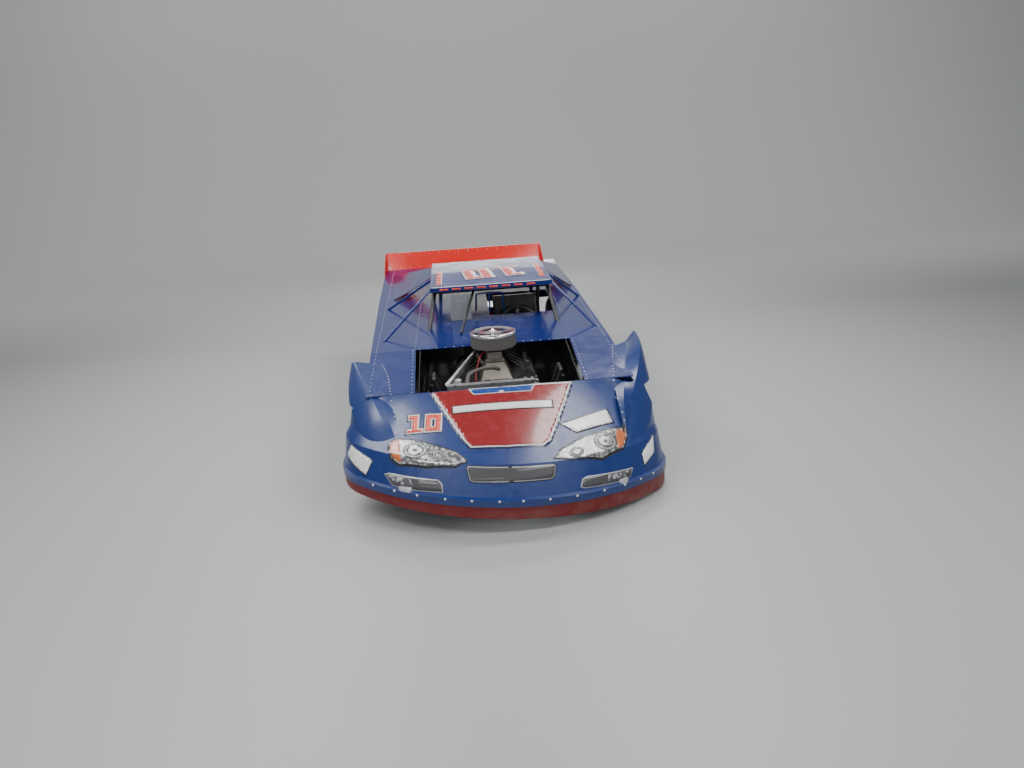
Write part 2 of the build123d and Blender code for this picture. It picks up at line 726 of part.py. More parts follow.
plenum_z = 730.0
runner = loft([Pos(0, y_at(engine_s), 604) * Rectangle(250, 400), Pos(0, y_at(engine_s), plenum_z) * Rectangle(130, 150)])
carb_base = block(-74, 74, engine_s - 100, engine_s + 100, plenum_z, plenum_z + 22)
carb_body = block(-62, 62, engine_s - 62, engine_s + 62, plenum_z + 20, air_cleaner_z - 26)
carb_bowls = [block(-54, 54, *sorted((engine_s + sign * 60, engine_s + sign * 118)), plenum_z + 28, plenum_z + 80)
              for sign in (-1, 1)]
carb_throat = Pos(0, y_at(engine_s), air_cleaner_z - 30) * Cylinder(
    66, 30 - seat_gap, align=(Align.CENTER, Align.CENTER, Align.MIN))
intake = fuse([runner, carb_base, carb_body, carb_throat] + carb_bowls) - engine
save("intake", intake)
cleaner = Pos(0, y_at(engine_s), air_cleaner_z) * Cylinder(air_cleaner_r, air_cleaner_h, align=(Align.CENTER,
                                                           Align.CENTER, Align.MIN))
lid = Pos(0, y_at(engine_s), air_cleaner_z + air_cleaner_h) * Cylinder(air_cleaner_r + 6, 16, align=(
    Align.CENTER, Align.CENTER, Align.MIN))
save("air_cleaner", cleaner + lid)


def header():
    tubes = []
    for i in range(4):
        s = engine_s - 165 + 110 * i
        tubes.append(run([(262, s, 545), (330, s + 20, 520), (350, engine_s + 60, 330)], 44))
    tubes.append(run([(350, engine_s + 60, 330), (360, engine_s + 240, 235), (360, 2500, 235)], 80))
    return fuse(tubes)


rails_clear = fuse([front_frame, main_frame])
header_left = header() - engine - rails_clear
header_left = sorted(header_left.solids(), key=lambda p: p.volume)[-1]
save("headers", Compound(children=[header_left, mirror(header_left, about=Plane.YZ).solids()[0]]))

# Radiator across the front of the bay
radiator_x = -60.0
radiator_half = 325.0
radiator = block(radiator_x - radiator_half, radiator_x + radiator_half, radiator_s - 30, radiator_s + 30, radiator_foot_z, 702)
radiator = radiator - block(radiator_x - 295, radiator_x + 295, radiator_s - 31, radiator_s - 15, radiator_foot_z + 35, 665)
save("radiator", radiator)

# Bent pipe that takes the coolant from the back of the engine forward to the radiator
pipe_line = [(-345, radiator_s + 30, 640), (-388, 1178, 676), (-150, 1790, 762), (-92, 1792, 640)]
save("coolant_pipe", run(pipe_line, 36) - radiator - intake - engine)

# Driver's seat, dash, steering wheel, fuel cell
seat_x = 290.0
seat_low = rail_z + rail_h / 2 + seat_gap
seat_profile = [(2720, seat_low), (2720, 350), (3060, 280), (3200, 640), (3260, 930), (3300, 930), (3290, 640),
                (3160, seat_low)]
seat_half = 215.0
seat_outer = side_prism(seat_profile, seat_x - seat_half, seat_x + seat_half)
seat_room = side_prism([(2700, 310), (3060, 262), (3220, 640), (3270, 960), (3100, 960), (3000, 480), (2700, 400)],
                       seat_x - seat_half + 14, seat_x + seat_half - 14)
seat_side = side_prism([(2740, seat_low), (2740, 370), (3020, 430), (3160, 760), (3270, 920), (3290, 640), (3160, seat_low)],
                       seat_x - seat_half, seat_x + seat_half)
seat = fuse([seat_outer, seat_side]) - seat_room
save("seat", sorted(seat.solids(), key=lambda p: p.volume)[-1])
steering_s = cockpit_front_s + 100
steering_z = deck_z(cockpit_front_s) - 136
column_d = 25.0
column_ends = [(seat_x, steering_s - 4, steering_z - 2), (seat_x, firewall_s, 558)]
dash = block(cockpit_right_x, cockpit_left_x - 20, cockpit_front_s - 6 - sheet, cockpit_front_s - 6,
             deck_z(cockpit_front_s) - 190, far) & below_deck(sheet)
save("dash", dash - cage_room - rod(*column_ends, column_d + 2 * seat_gap))
wheel_tilt = 25.0
steering_place = Pos(seat_x, y_at(steering_s), steering_z) * Rot(90 - wheel_tilt, 0, 0)
rim_ring = Torus(175, 14)
spokes = [Rot(0, 0, a) * Pos(88, 0, 0) * Box(170, 26, 6) for a in (90, 210, 330)]
hub = Cylinder(38, 24)
steering_wheel = steering_place * fuse([rim_ring, hub] + spokes)
column_foot_s = firewall_s + sheet + seat_gap
column = rod(*column_ends, column_d)
column = column - block(seat_x - 40, seat_x + 40, column_foot_s - 60, column_foot_s, 490, 640)
save("steering_wheel", fuse([steering_wheel, column]) - cage_room)
save("fuel_cell", block(*cell_box))


# Wheels: tyres and deep-dish rims, each rim with its hub and drive studs
rim_wall = 5.0
disc_x = 40.0
hub_r = 62.0
hub_inner_x = -70.0
hub_outer_x = 62.0
window_count = 8
stud_count = 5
stud_circle_r = 130.0


def turned(points, centre_s, centre_z, track):
    """Turn an outline of (distance along the axle, radius) points about the axle's line."""
    line = Polyline(*[(track + x, y_at(centre_s), centre_z + r) for x, r in points], close=True)
    return revolve(make_face(line), axis=Axis((0, y_at(centre_s), centre_z), (1, 0, 0)))


def tyre(radius, centre_s, track):
    outline = [
        (-tread_half, radius),
        (tread_half, radius),
        (tread_half + 16, radius - 18),
        (tyre_half, radius - 70),
        (tyre_half - 4, bead_r + 50),
        (rim_half - rim_wall - 14, bead_r + 22),
        (rim_half - rim_wall - 10, bead_r + seat_gap),
        (rim_half - rim_wall - 34, bead_r + seat_gap),
        (tyre_half - 30, radius - 70),
        (tread_half - 10, radius - 16),
    ]
    mirrored = [(-x, r) for x, r in reversed(outline[1:])]
    return turned(outline[1:] + mirrored, centre_s, radius, track)


def rim(radius, centre_s, track, bore_r):
    flange_r = bead_r + 16
    barrel = [
        (-rim_half, bead_r - rim_wall),
        (-rim_half, flange_r),
        (-rim_half + rim_wall, flange_r),
        (-rim_half + rim_wall, bead_r),
        (rim_half - rim_wall, bead_r),
        (rim_half - rim_wall, flange_r),
        (rim_half + 8, flange_r),
        (rim_half + 8, bead_r - 14),
        (rim_half - 12, bead_r - 14),
        (rim_half - 12, bead_r - rim_wall),
    ]
    centre = [
        (disc_x - 4, 0),
        (disc_x + 4, 0),
        (disc_x + 4, 120),
        (disc_x + 26, bead_r - rim_wall + 1),
        (disc_x + 18, bead_r - rim_wall + 1),
        (disc_x - 4, 120),
    ]
    hub_shape = [(hub_inner_x, 0), (hub_inner_x, hub_r), (disc_x, hub_r), (disc_x, hub_r - 10), (hub_outer_x, hub_r - 18),
                 (hub_outer_x, 0)]
    drum = [(-60, hub_r - 1), (-60, 140), (-48, 140), (-48, hub_r - 1)]
    wheel = fuse([turned(p, centre_s, radius, track) for p in (barrel, centre, hub_shape, drum)])
    bore = [(hub_inner_x - 1, 0), (hub_inner_x - 1, bore_r), (disc_x - 20, bore_r), (disc_x - 20, 0)]
    wheel = wheel - turned(bore, centre_s, radius, track)
    axis_line = Pos(track + disc_x, y_at(centre_s), radius) * Rot(0, 90, 0)
    windows = [axis_line * Rot(0, 0, 360 / window_count * (i + 0.5)) * Pos(155, 0, 0) * Cylinder(13, 90)
               for i in range(window_count)]
    studs = [axis_line * Rot(0, 0, 360 / stud_count * i) * Pos(90, 0, 0) * Cylinder(9, 44) for i in range(stud_count)]
    return fuse([wheel - fuse(windows)] + studs)


corners = {
    "front": (front_tyre_r, front_axle_s, front_track_half, spindle_r + running_gap),
    "rear": (rear_tyre_r, front_axle_s + wheelbase, rear_track_half, axle_r + running_gap),
}
for end, (radius, centre_s, track, bore_r) in corners.items():
    tyre_shape = tyre(radius, centre_s, track)
    rim_shape = rim(radius, centre_s, track, bore_r)
    for name, shape in (("tyre", tyre_shape), ("rim", rim_shape)):
        save(f"{name}_{end}_left", shape)
        save(f"{name}_{end}_right", mirror(shape, about=Plane.YZ))

# Front knuckle: upright, spindle and steering arm
pin_r = 9.0
ball_gap = 0.05
upright_top = upper_ball_z + 22
upright_foot = lower_ball_z - 22


def knuckle():
    upright = block(kingpin_x - 24, kingpin_x + 38, front_axle_s - 30, front_axle_s + 30, upright_foot, upright_top)
    slot_low = block(kingpin_x - 40, kingpin_x + 24, front_axle_s - 40, front_axle_s + 40, lower_ball_z - 13, lower_ball_z + 13)
    slot_high = block(kingpin_x - 40, kingpin_x + 24, front_axle_s - 40, front_axle_s + 40, upper_ball_z - 13, upper_ball_z + 13)
    spindle = rod((kingpin_x, front_axle_s, front_tyre_r), (front_track_half + disc_x - 24, front_axle_s, front_tyre_r),
                  2 * spindle_r)
    arm = block(kingpin_x - 20, kingpin_x + 12, front_axle_s - steer_arm - 16, front_axle_s, 318, 334)
    pins = [rod((kingpin_x, front_axle_s, z - 22), (kingpin_x, front_axle_s, z + 22), 2 * pin_r)
            for z in (lower_ball_z, upper_ball_z)]
    return fuse([upright - slot_low - slot_high, spindle, arm] + pins)


knuckle_left = knuckle()
save("knuckle_left", knuckle_left)
save("knuckle_right", mirror(knuckle_left, about=Plane.YZ))

# Front control arms and coil-overs
lower_pivot_x = 379.5


def ball_end(z):
    eye = Pos(kingpin_x, y_at(front_axle_s), z) * Cylinder(21, 22)
    return eye - Pos(kingpin_x, y_at(front_axle_s), z) * Cylinder(pin_r + ball_gap, 60)


def control_arm(pivot_x, pivot_z, spread, ball_z):
    neck_x = kingpin_x - 15
    legs = [rod((pivot_x, front_axle_s + sign * spread, pivot_z), (neck_x, front_axle_s, ball_z), 22) for sign in (-1, 1)]
    bar = rod((pivot_x, front_axle_s - spread - 20, pivot_z), (pivot_x, front_axle_s + spread + 20, pivot_z), pivot_bar_d)
    hole = Pos(kingpin_x, y_at(front_axle_s), ball_z) * Cylinder(pin_r + ball_gap, 60)
    return fuse([*legs, bar, ball_end(ball_z)]) - hole


def coil_over(foot, head, coil_d):
    a, b = Vector(*foot), Vector(*head)
    body_end = a + (b - a) * 0.45
    coil_start = a + (b - a) * 0.28
    coil_end = a + (b - a) * 0.9
    return fuse([rod(tuple(a), tuple(b), 18), rod(tuple(a), tuple(body_end), 46), rod(tuple(coil_start), tuple(coil_end), coil_d)])


lower_arm = control_arm(lower_pivot_x, 205, 120, lower_ball_z)
upper_arm = control_arm(upper_pivot_x, 500, 85, upper_ball_z)
front_coil = coil_over((540, front_axle_s, 222), (coil_head_x, front_axle_s, coil_head_z), 64)
front_left = fuse([lower_arm, upper_arm, front_coil]).solids()
save("front_suspension", Compound(children=[q for p in front_left for q in (p, mirror(p, about=Plane.YZ).solids()[0])]))

# Steering rack with its tie rods, which slides across the car
steer_arm_z = 318.0
tie_eye_h = 22.0
tie_eye_z = steer_arm_z - 2 * seat_gap - tie_eye_h / 2
tie_eye = Pos(kingpin_x - 4, y_at(rack_s), tie_eye_z) * Cylinder(15, tie_eye_h)
rack = fuse([rod((-kingpin_x + 12, rack_s, rack_z), (kingpin_x - 12, rack_s, rack_z), rack_d), tie_eye,
             mirror(tie_eye, about=Plane.YZ)])
save("steering_rack", rack)

# Rear axle with its quick-change centre, links, coil-overs and driveshaft
rear_axle_s = front_axle_s + wheelbase
tube_end = rear_track_half + hub_inner_x - 6
rear_axle = fuse([
    rod((-tube_end, rear_axle_s, rear_tyre_r), (tube_end, rear_axle_s, rear_tyre_r), 80),
    rod((-rear_track_half - disc_x + 24, rear_axle_s, rear_tyre_r), (rear_track_half + disc_x - 24, rear_axle_s, rear_tyre_r),
        2 * axle_r),
    block(-110, 110, rear_axle_s - 130, rear_axle_s + 150, rear_tyre_r - 140, rear_tyre_r + 130),
    rod((0, rear_axle_s, rear_tyre_r - 40), (0, 2000, crank_z + 10), 76),
])
save("rear_axle", rear_axle - fuse(main_bars) - firewall)


def rear_links():
    bracket = block(560, 590, rear_axle_s - 60, rear_axle_s + 60, rear_tyre_r - 110, rear_tyre_r + 120)
    link_d = 26.0
    rail_side_x = rail_x + link_d / 2 + seat_gap
    hoop_side_x = cage_x + 14 - tube_d / 2 - link_d / 2 - seat_gap
    low = rod((575, rear_axle_s - 20, rear_tyre_r - 90), (rail_side_x, rear_axle_s - 520, 205), link_d)
    high = rod((575, rear_axle_s - 20, rear_tyre_r + 95), (hoop_side_x, hoop_s, 470), link_d)
    coil = coil_over((500, rear_shock_s, rear_tyre_r - 20), (425, rear_shock_s, shock_bar_z - tube_d / 2 - seat_gap), 80)
    perch = block(470, 590, rear_axle_s + 40, rear_axle_s + 110, rear_tyre_r - 60, rear_tyre_r - 20)
    return fuse([bracket, low, high, coil, perch]) - rear_axle


link_left = sorted((rear_links() - rear_frame - main_frame).solids(), key=lambda p: p.volume)[-1]
save("rear_suspension", Compound(children=[link_left, mirror(link_left, about=Plane.YZ)]))
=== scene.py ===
# %% [markdown]
# # A dirt late model, hood off, as it stands in the shop
# The solids of the car come from its frame model, which never changes here. This lesson dresses them:
# paint, vinyl and rubber, the stickers on the nose, the bolts and rivets, the tyre tread, and the small
# things in the engine bay.

import math
import random

import bmesh
import bpy
from mathutils import Matrix, Vector
from mathutils.bvhtree import BVHTree
from mathutils.geometry import delaunay_2d_cdt


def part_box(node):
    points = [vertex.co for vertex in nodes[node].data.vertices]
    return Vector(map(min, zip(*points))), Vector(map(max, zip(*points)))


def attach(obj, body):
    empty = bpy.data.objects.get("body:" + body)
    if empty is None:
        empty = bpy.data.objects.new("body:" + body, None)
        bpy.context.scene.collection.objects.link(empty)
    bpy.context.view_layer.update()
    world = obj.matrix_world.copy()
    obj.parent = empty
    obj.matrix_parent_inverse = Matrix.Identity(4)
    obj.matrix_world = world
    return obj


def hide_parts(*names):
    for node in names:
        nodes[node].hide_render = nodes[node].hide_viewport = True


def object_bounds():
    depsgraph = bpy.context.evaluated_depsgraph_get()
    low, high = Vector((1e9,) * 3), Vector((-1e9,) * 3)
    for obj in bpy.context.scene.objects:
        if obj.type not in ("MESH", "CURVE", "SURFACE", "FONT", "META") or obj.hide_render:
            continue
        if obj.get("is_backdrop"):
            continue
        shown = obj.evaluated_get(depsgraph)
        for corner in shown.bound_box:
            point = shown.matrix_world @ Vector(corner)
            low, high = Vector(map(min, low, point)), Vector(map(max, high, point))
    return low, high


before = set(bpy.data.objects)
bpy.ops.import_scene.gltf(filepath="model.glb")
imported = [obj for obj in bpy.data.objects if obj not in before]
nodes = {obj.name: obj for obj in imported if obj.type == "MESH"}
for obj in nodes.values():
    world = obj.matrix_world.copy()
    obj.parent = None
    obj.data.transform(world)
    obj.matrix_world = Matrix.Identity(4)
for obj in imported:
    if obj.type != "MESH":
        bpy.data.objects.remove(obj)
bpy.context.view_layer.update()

# %% [markdown]
# ## Camera
# The picture was taken from well above the car and a little to its right, looking down at the nose and
# tipped slightly to one side. A camera is only a place, three turns and a lens, so they are written as
# plain numbers. The lens is worked out from the focal length in pixels, because a camera's sensor is 36 mm
# wide.

# %% Make the camera
picture_width = 1024
sensor_mm = 36
focal_px = 806.9
camera_place = Vector((-0.215, -7.279, 2.445))
camera_yaw, camera_pitch, camera_roll = math.radians(3.11), math.radians(17.09), math.radians(-3.68)


def make_camera():
    ahead = math.cos(camera_pitch)
    look = Vector((math.sin(camera_yaw) * ahead, math.cos(camera_yaw) * ahead, -math.sin(camera_pitch)))
    level = Vector((math.cos(camera_yaw), -math.sin(camera_yaw), 0))
    upright = level.cross(look)
    right = math.cos(camera_roll) * level + math.sin(camera_roll) * upright
    up = math.cos(camera_roll) * upright - math.sin(camera_roll) * level
    data = bpy.data.cameras.new("camera")
    data.sensor_width = sensor_mm
    data.lens = focal_px * data.sensor_width / picture_width
    camera = bpy.data.objects.new("camera", data)
    turn = Matrix((right, up, -look)).transposed()
    camera.matrix_world = Matrix.Translation(camera_place) @ turn.to_4x4()
    bpy.context.scene.collection.objects.link(camera)
    bpy.context.scene.camera = camera


make_camera()
print("camera lens:", round(bpy.context.scene.camera.data.lens, 1), "mm")

# %% [markdown]
# ## Floor and light
# The floor is plain, pale and faintly glossy, like sealed concrete. Behind the car it sweeps up in one
# smooth curve, the way a photographer's paper roll does, so that no line of a horizon is seen. Wide panels
# of light overhead stand for ceiling lights, and a low panel behind the car gives the bright streaks that
# polished sheet metal shows when something white is behind it. Three more panels light the sweep of the
# background.

# %% Helpers for shader nodes


def add_node(tree, kind, **settings):
    """A shader node of a kind, with its properties and its input values set by name."""
    node = tree.nodes.new(kind)
    for key, value in settings.items():
        if hasattr(node, key):
            setattr(node, key, value)
        else:
            node.inputs[key.replace("_", " ")].default_value = value
    return node


def link(tree, source, target):
    """Join two (node, socket name or number) ends."""
    tree.links.new(source[0].outputs[source[1]], target[0].inputs[target[1]])


def plain_material(name, colour, roughness, metallic=0.0, **more):
    """A Principled material, with its constants on the shader. Returns it, its tree and the shader."""
    material = bpy.data.materials.new(name)
    material.use_nodes = True
    tree = material.node_tree
    shader = tree.nodes["Principled BSDF"]
    shader.inputs["Base Color"].default_value = (*colour, 1)
    shader.inputs["Roughness"].default_value = roughness
    shader.inputs["Metallic"].default_value = metallic
    for key, value in more.items():
        shader.inputs[key.replace("_", " ")].default_value = value
    return material, tree, shader


# %% Floor and lights


def make_floor():
    """A wide strip swept along X: flat under the car, then a quarter turn up into a tall wall behind it."""
    half, front_y, bend_y, bend_r, top = 30.0, -16.0, 9.0, 6.0, 16.0
    bend_steps = 24
    profile = [(front_y, 0.0), (bend_y, 0.0)]
    for step in range(1, bend_steps + 1):
        angle = math.radians(90 * step / bend_steps)
        profile.append((bend_y + bend_r * math.sin(angle), bend_r - bend_r * math.cos(angle)))
    profile.append((bend_y + bend_r, top))
    corners = [(x, y, z) for y, z in profile for x in (-half, half)]
    faces = [(2 * i, 2 * i + 1, 2 * i + 3, 2 * i + 2) for i in range(len(profile) - 1)]
    mesh = bpy.data.meshes.new("floor")
    mesh.from_pydata(corners, [], faces)
    mesh.polygons.foreach_set("use_smooth", [True] * len(faces))
    floor = bpy.data.objects.new("floor", mesh)
    material, tree, shader = plain_material("sealed_floor", (0.42, 0.43, 0.42), 0.45)
    clouds = add_node(tree, "ShaderNodeTexNoise", Scale=0.9, Detail=6.0)
    gloss = add_node(tree, "ShaderNodeMapRange", To_Min=0.34, To_Max=0.52)
    link(tree, (clouds, "Fac"), (gloss, "Value"))
    link(tree, (gloss, "Result"), (shader, "Roughness"))
    mesh.materials.append(material)
    bpy.context.scene.collection.objects.link(floor)
    floor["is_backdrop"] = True


def light_panel(name, place, size, watts, aim):
    data = bpy.data.lights.new(name, "AREA")
    data.shape = "RECTANGLE"
    data.size, data.size_y = size
    data.energy = watts
    lamp = bpy.data.objects.new(name, data)
    lamp.location = place
    lamp.rotation_euler = (Vector(aim) - Vector(place)).to_track_quat("-Z", "Y").to_euler()
    lamp.visible_camera = False
    bpy.context.scene.collection.objects.link(lamp)


make_floor()
ceiling = 4.4
for row, y in enumerate((-4.2, -0.6, 3.0)):
    for column, x in enumerate((-2.6, 2.2)):
        light_panel(f"ceiling_{row}_{column}", (x, y, ceiling), (2.4, 1.0), 105, (x, y, 0))
light_panel("door_glow", (0.2, 7.5, 1.9), (3.0, 0.7), 30, (0, 0, 0.6))
light_panel("front_fill", (-1.5, -8.5, 3.4), (4.0, 2.0), 90, (0, -1.5, 0.3))
for number, x in enumerate((-9, 0, 9)):
    light_panel(f"wall_wash_{number}", (x, 5.5, 6.5), (7.0, 2.5), 380, (x, 15, 3.5))
world = bpy.data.worlds.new("room")
world.use_nodes = True
world.node_tree.nodes["Background"].inputs["Color"].default_value = (0.80, 0.82, 0.86, 1)
world.node_tree.nodes["Background"].inputs["Strength"].default_value = 0.38
bpy.context.scene.world = world
print("lights:", len(bpy.data.lights))

# %% [markdown]
# ## Effects that several finishes share
# A finish is never one flat colour. Four small shader groups are built once: fine grain for castings,
# rubber and moulded plastic; brushed lines for bare metal; a soft waviness for thin painted sheet; and dust
# that gathers low down. Each puts out a mask or a height, and every material feeds its own values in.

# %% Start a shared group


def start_group(name, inputs, outputs):
    """An empty shader group with named float inputs and outputs. Returns the group and its two end nodes."""
    group = bpy.data.node_groups.new(name, "ShaderNodeTree")
    for key, value in inputs.items():
        socket = group.interface.new_socket(key, in_out="INPUT", socket_type="NodeSocketFloat")
        socket.default_value = value
    for key in outputs:
        group.interface.new_socket(key, in_out="OUTPUT", socket_type="NodeSocketFloat")
    return group, group.nodes.new("NodeGroupInput"), group.nodes.new("NodeGroupOutput")


# %% Fine grain


def grain_group():
    """Fine even grain: Tone is a soft blotch for colour, Height a sharp speckle for relief."""
    group, start, end = start_group("fine_grain", {"Size": 400.0}, ("Tone", "Height"))
    place = add_node(group, "ShaderNodeTexCoord")
    fine = add_node(group, "ShaderNodeTexNoise", Detail=4.0, Roughness=0.7)
    soft = add_node(group, "ShaderNodeTexNoise", Detail=3.0)
    larger = add_node(group, "ShaderNodeMath", operation="MULTIPLY")
    blotch_share = 0.06
    larger.inputs[1].default_value = blotch_share
    link(group, (start, "Size"), (fine, "Scale"))
    link(group, (start, "Size"), (larger, 0))
    link(group, (larger, 0), (soft, "Scale"))
    for noise in (fine, soft):
        link(group, (place, "Object"), (noise, "Vector"))
    link(group, (soft, "Fac"), (end, "Tone"))
    link(group, (fine, "Fac"), (end, "Height"))
    return group


# %% Brushed lines


def brushed_group():
    """Lines left by a brush or a lathe tool, drawn out along the car's length."""
    group, start, end = start_group("brushed_lines", {"Size": 900.0}, ("Tone", "Height"))
    place = add_node(group, "ShaderNodeTexCoord")
    stretch = add_node(group, "ShaderNodeMapping")
    stretch.inputs["Scale"].default_value = (1.0, 0.03, 1.0)
    lines = add_node(group, "ShaderNodeTexNoise", Detail=5.0, Roughness=0.6)
    link(group, (place, "Object"), (stretch, "Vector"))
    link(group, (stretch, "Vector"), (lines, "Vector"))
    link(group, (start, "Size"), (lines, "Scale"))
    link(group, (lines, "Fac"), (end, "Tone"))
    link(group, (lines, "Fac"), (end, "Height"))
    return group


# %% Waves of thin sheet


def wave_group():
    """The slow waviness of thin sheet and the much finer ripple of its paint or vinyl."""
    group, start, end = start_group("sheet_waves", {"Size": 2.2, "Ripple": 0.06}, ("Height",))
    place = add_node(group, "ShaderNodeTexCoord")
    slow = add_node(group, "ShaderNodeTexNoise", Detail=1.0)
    fine = add_node(group, "ShaderNodeTexNoise", Scale=170.0, Detail=1.0)
    small = add_node(group, "ShaderNodeMath", operation="MULTIPLY")
    total = add_node(group, "ShaderNodeMath", operation="ADD")
    for noise in (slow, fine):
        link(group, (place, "Object"), (noise, "Vector"))
    link(group, (start, "Size"), (slow, "Scale"))
    link(group, (fine, "Fac"), (small, 0))
    link(group, (start, "Ripple"), (small, 1))
    link(group, (slow, "Fac"), (total, 0))
    link(group, (small, 0), (total, 1))
    link(group, (total, 0), (end, "Height"))
    return group


# %% Low dust


def dust_group():
    """Dry dust: strongest below a height, broken up by noise, and never solid."""
    group, start, end = start_group("low_dust", {"Top": 0.45, "Amount": 0.35}, ("Mask",))
    place = add_node(group, "ShaderNodeNewGeometry")
    parts = add_node(group, "ShaderNodeSeparateXYZ")
    fall = add_node(group, "ShaderNodeMapRange", From_Min=0.0, To_Min=1.0, To_Max=0.0)
    patches = add_node(group, "ShaderNodeTexNoise", Scale=11.0, Detail=8.0, Roughness=0.65)
    spread = add_node(group, "ShaderNodeMapRange", From_Min=0.38, From_Max=0.72)
    both = add_node(group, "ShaderNodeMath", operation="MULTIPLY")
    scaled = add_node(group, "ShaderNodeMath", operation="MULTIPLY")
    link(group, (place, "Position"), (parts, 0))
    link(group, (place, "Position"), (patches, "Vector"))
    link(group, (parts, "Z"), (fall, "Value"))
    link(group, (start, "Top"), (fall, "From Max"))
    link(group, (patches, "Fac"), (spread, "Value"))
    link(group, (fall, "Result"), (both, 0))
    link(group, (spread, "Result"), (both, 1))
    link(group, (both, 0), (scaled, 0))
    link(group, (start, "Amount"), (scaled, 1))
    link(group, (scaled, 0), (end, "Mask"))
    return group


# %% Build the groups
shared = {"grain": grain_group(), "brushed": brushed_group(), "waves": wave_group(), "dust": dust_group()}
print("shared groups:", ", ".join(group.name for group in shared.values()))

# %% Helpers that place the groups in a material
dust_colour = (0.32, 0.27, 0.21)


def use_group(tree, name, **values):
    node = tree.nodes.new("ShaderNodeGroup")
    node.node_tree = shared[name]
    for key, value in values.items():
        node.inputs[key].default_value = value
    return node


def relief(tree, shader, source, depth):
    """Feed a height into the shader's normal. The depth is in metres."""
    bump = add_node(tree, "ShaderNodeBump", Strength=1.0, Distance=depth)
    link(tree, source, (bump, "Height"))
    link(tree, (bump, "Normal"), (shader, "Normal"))


def vary(tree, shader, source, socket, low, high):
    """Let a mask move a shader value between two numbers."""
    spread = add_node(tree, "ShaderNodeMapRange", From_Min=0.3, From_Max=0.7, To_Min=low, To_Max=high)
    link(tree, source, (spread, "Value"))
    link(tree, (spread, "Result"), (shader, socket))


def shade(colour, share):
    """The same colour, darker or lighter by a share."""
    return tuple(min(1, share * part) for part in colour)


def blend_colours(tree, shader, mask, dark, light):
    """Mix two colours by a mask and feed the result to the base colour. Returns the two colour sockets."""
    mix = add_node(tree, "ShaderNodeMix", data_type="RGBA")
    colours = [socket for socket in mix.inputs if socket.type == "RGBA"]
    result = [socket for socket in mix.outputs if socket.type == "RGBA"][0]
    colours[0].default_value = (*dark, 1)
    colours[1].default_value = (*light, 1)
    tree.links.new(mask, mix.inputs[0])
    tree.links.new(result, shader.inputs["Base Color"])
    return colours


def tint(tree, shader, source, dark, light):
    """Let a mask blend the base colour between two colours."""
    blend_colours(tree, shader, source[0].outputs[source[1]], dark, light)


def dusted(tree, shader, top, amount):
    """Lay dust over whatever feeds the base colour now."""
    base = shader.inputs["Base Color"]
    under = base.links[0].from_socket if base.is_linked else None
    dust = use_group(tree, "dust", Top=top, Amount=amount)
    colours = blend_colours(tree, shader, dust.outputs["Mask"], base.default_value[:3], dust_colour)
    if under:
        tree.links.new(under, colours[0])


# %% [markdown]
# ## Paint, vinyl and moulded plastic
# The nose and flares are moulded plastic with a satin skin. The flat panels behind them are thin painted
# sheet under glossy vinyl, so they get a clear coat and a slow waviness that bends reflections. The strip
# under the nose is plain rubbery plastic. Each finish is its own short function.

# %% Body colours
racing_blue = (0.002, 0.024, 0.150)
deck_blue = (0.001, 0.016, 0.150)
signal_red = (0.72, 0.014, 0.006)
valance_red = (0.17, 0.004, 0.007)
decal_red = (0.26, 0.008, 0.010)
border_navy = (0.006, 0.008, 0.060)
clean_white = (0.80, 0.80, 0.78)
print("main blue:", racing_blue)

# %% Body finishes


def moulded_blue():
    material, tree, shader = plain_material("moulded_blue", racing_blue, 0.34, Coat_Weight=0.35,
                                            Coat_Roughness=0.22)
    grain = use_group(tree, "grain", Size=260.0)
    tint(tree, shader, (grain, "Tone"), shade(racing_blue, 0.9), shade(racing_blue, 1.12))
    vary(tree, shader, (grain, "Tone"), "Roughness", 0.28, 0.42)
    waves = use_group(tree, "waves", Size=3.0, Ripple=0.03)
    relief(tree, shader, (waves, "Height"), 0.004)
    dusted(tree, shader, 0.30, 0.12)
    return material


def sheet_vinyl(name, colour, depth=0.003, coat=0.5):
    material, tree, shader = plain_material(name, colour, 0.24, Coat_Weight=coat, Coat_Roughness=0.05)
    grain = use_group(tree, "grain", Size=120.0)
    tint(tree, shader, (grain, "Tone"), shade(colour, 0.92), shade(colour, 1.1))
    vary(tree, shader, (grain, "Tone"), "Roughness", 0.14, 0.26)
    waves = use_group(tree, "waves", Size=2.4, Ripple=0.012)
    relief(tree, shader, (waves, "Height"), depth)
    dusted(tree, shader, 0.40, 0.12)
    return material


def rubbery_plastic():
    material, tree, shader = plain_material("valance_red", valance_red, 0.5)
    grain = use_group(tree, "grain", Size=500.0)
    tint(tree, shader, (grain, "Tone"), shade(valance_red, 0.75), shade(valance_red, 1.15))
    relief(tree, shader, (grain, "Height"), 0.0004)
    dusted(tree, shader, 0.24, 0.4)
    return material


def sticker(name, colour, roughness=0.25):
    material, tree, shader = plain_material(name, colour, roughness, Coat_Weight=0.5, Coat_Roughness=0.08)
    grain = use_group(tree, "grain", Size=300.0)
    tint(tree, shader, (grain, "Tone"), shade(colour, 0.93), shade(colour, 1.05))
    vary(tree, shader, (grain, "Tone"), "Roughness", roughness - 0.06, roughness + 0.08)
    return material


finish = {
    "moulded_blue": moulded_blue(),
    "deck_blue": sheet_vinyl("deck_blue", deck_blue),
    "roof_blue": sheet_vinyl("roof_blue", deck_blue, 0.003, 0.05),
    "signal_red": sheet_vinyl("signal_red", signal_red, 0.002),
    "valance_red": rubbery_plastic(),
    "decal_red": sticker("decal_red", decal_red),
    "border_navy": sticker("border_navy", border_navy),
    "clean_white": sticker("clean_white", clean_white),
}
print("body finishes:", len(finish))

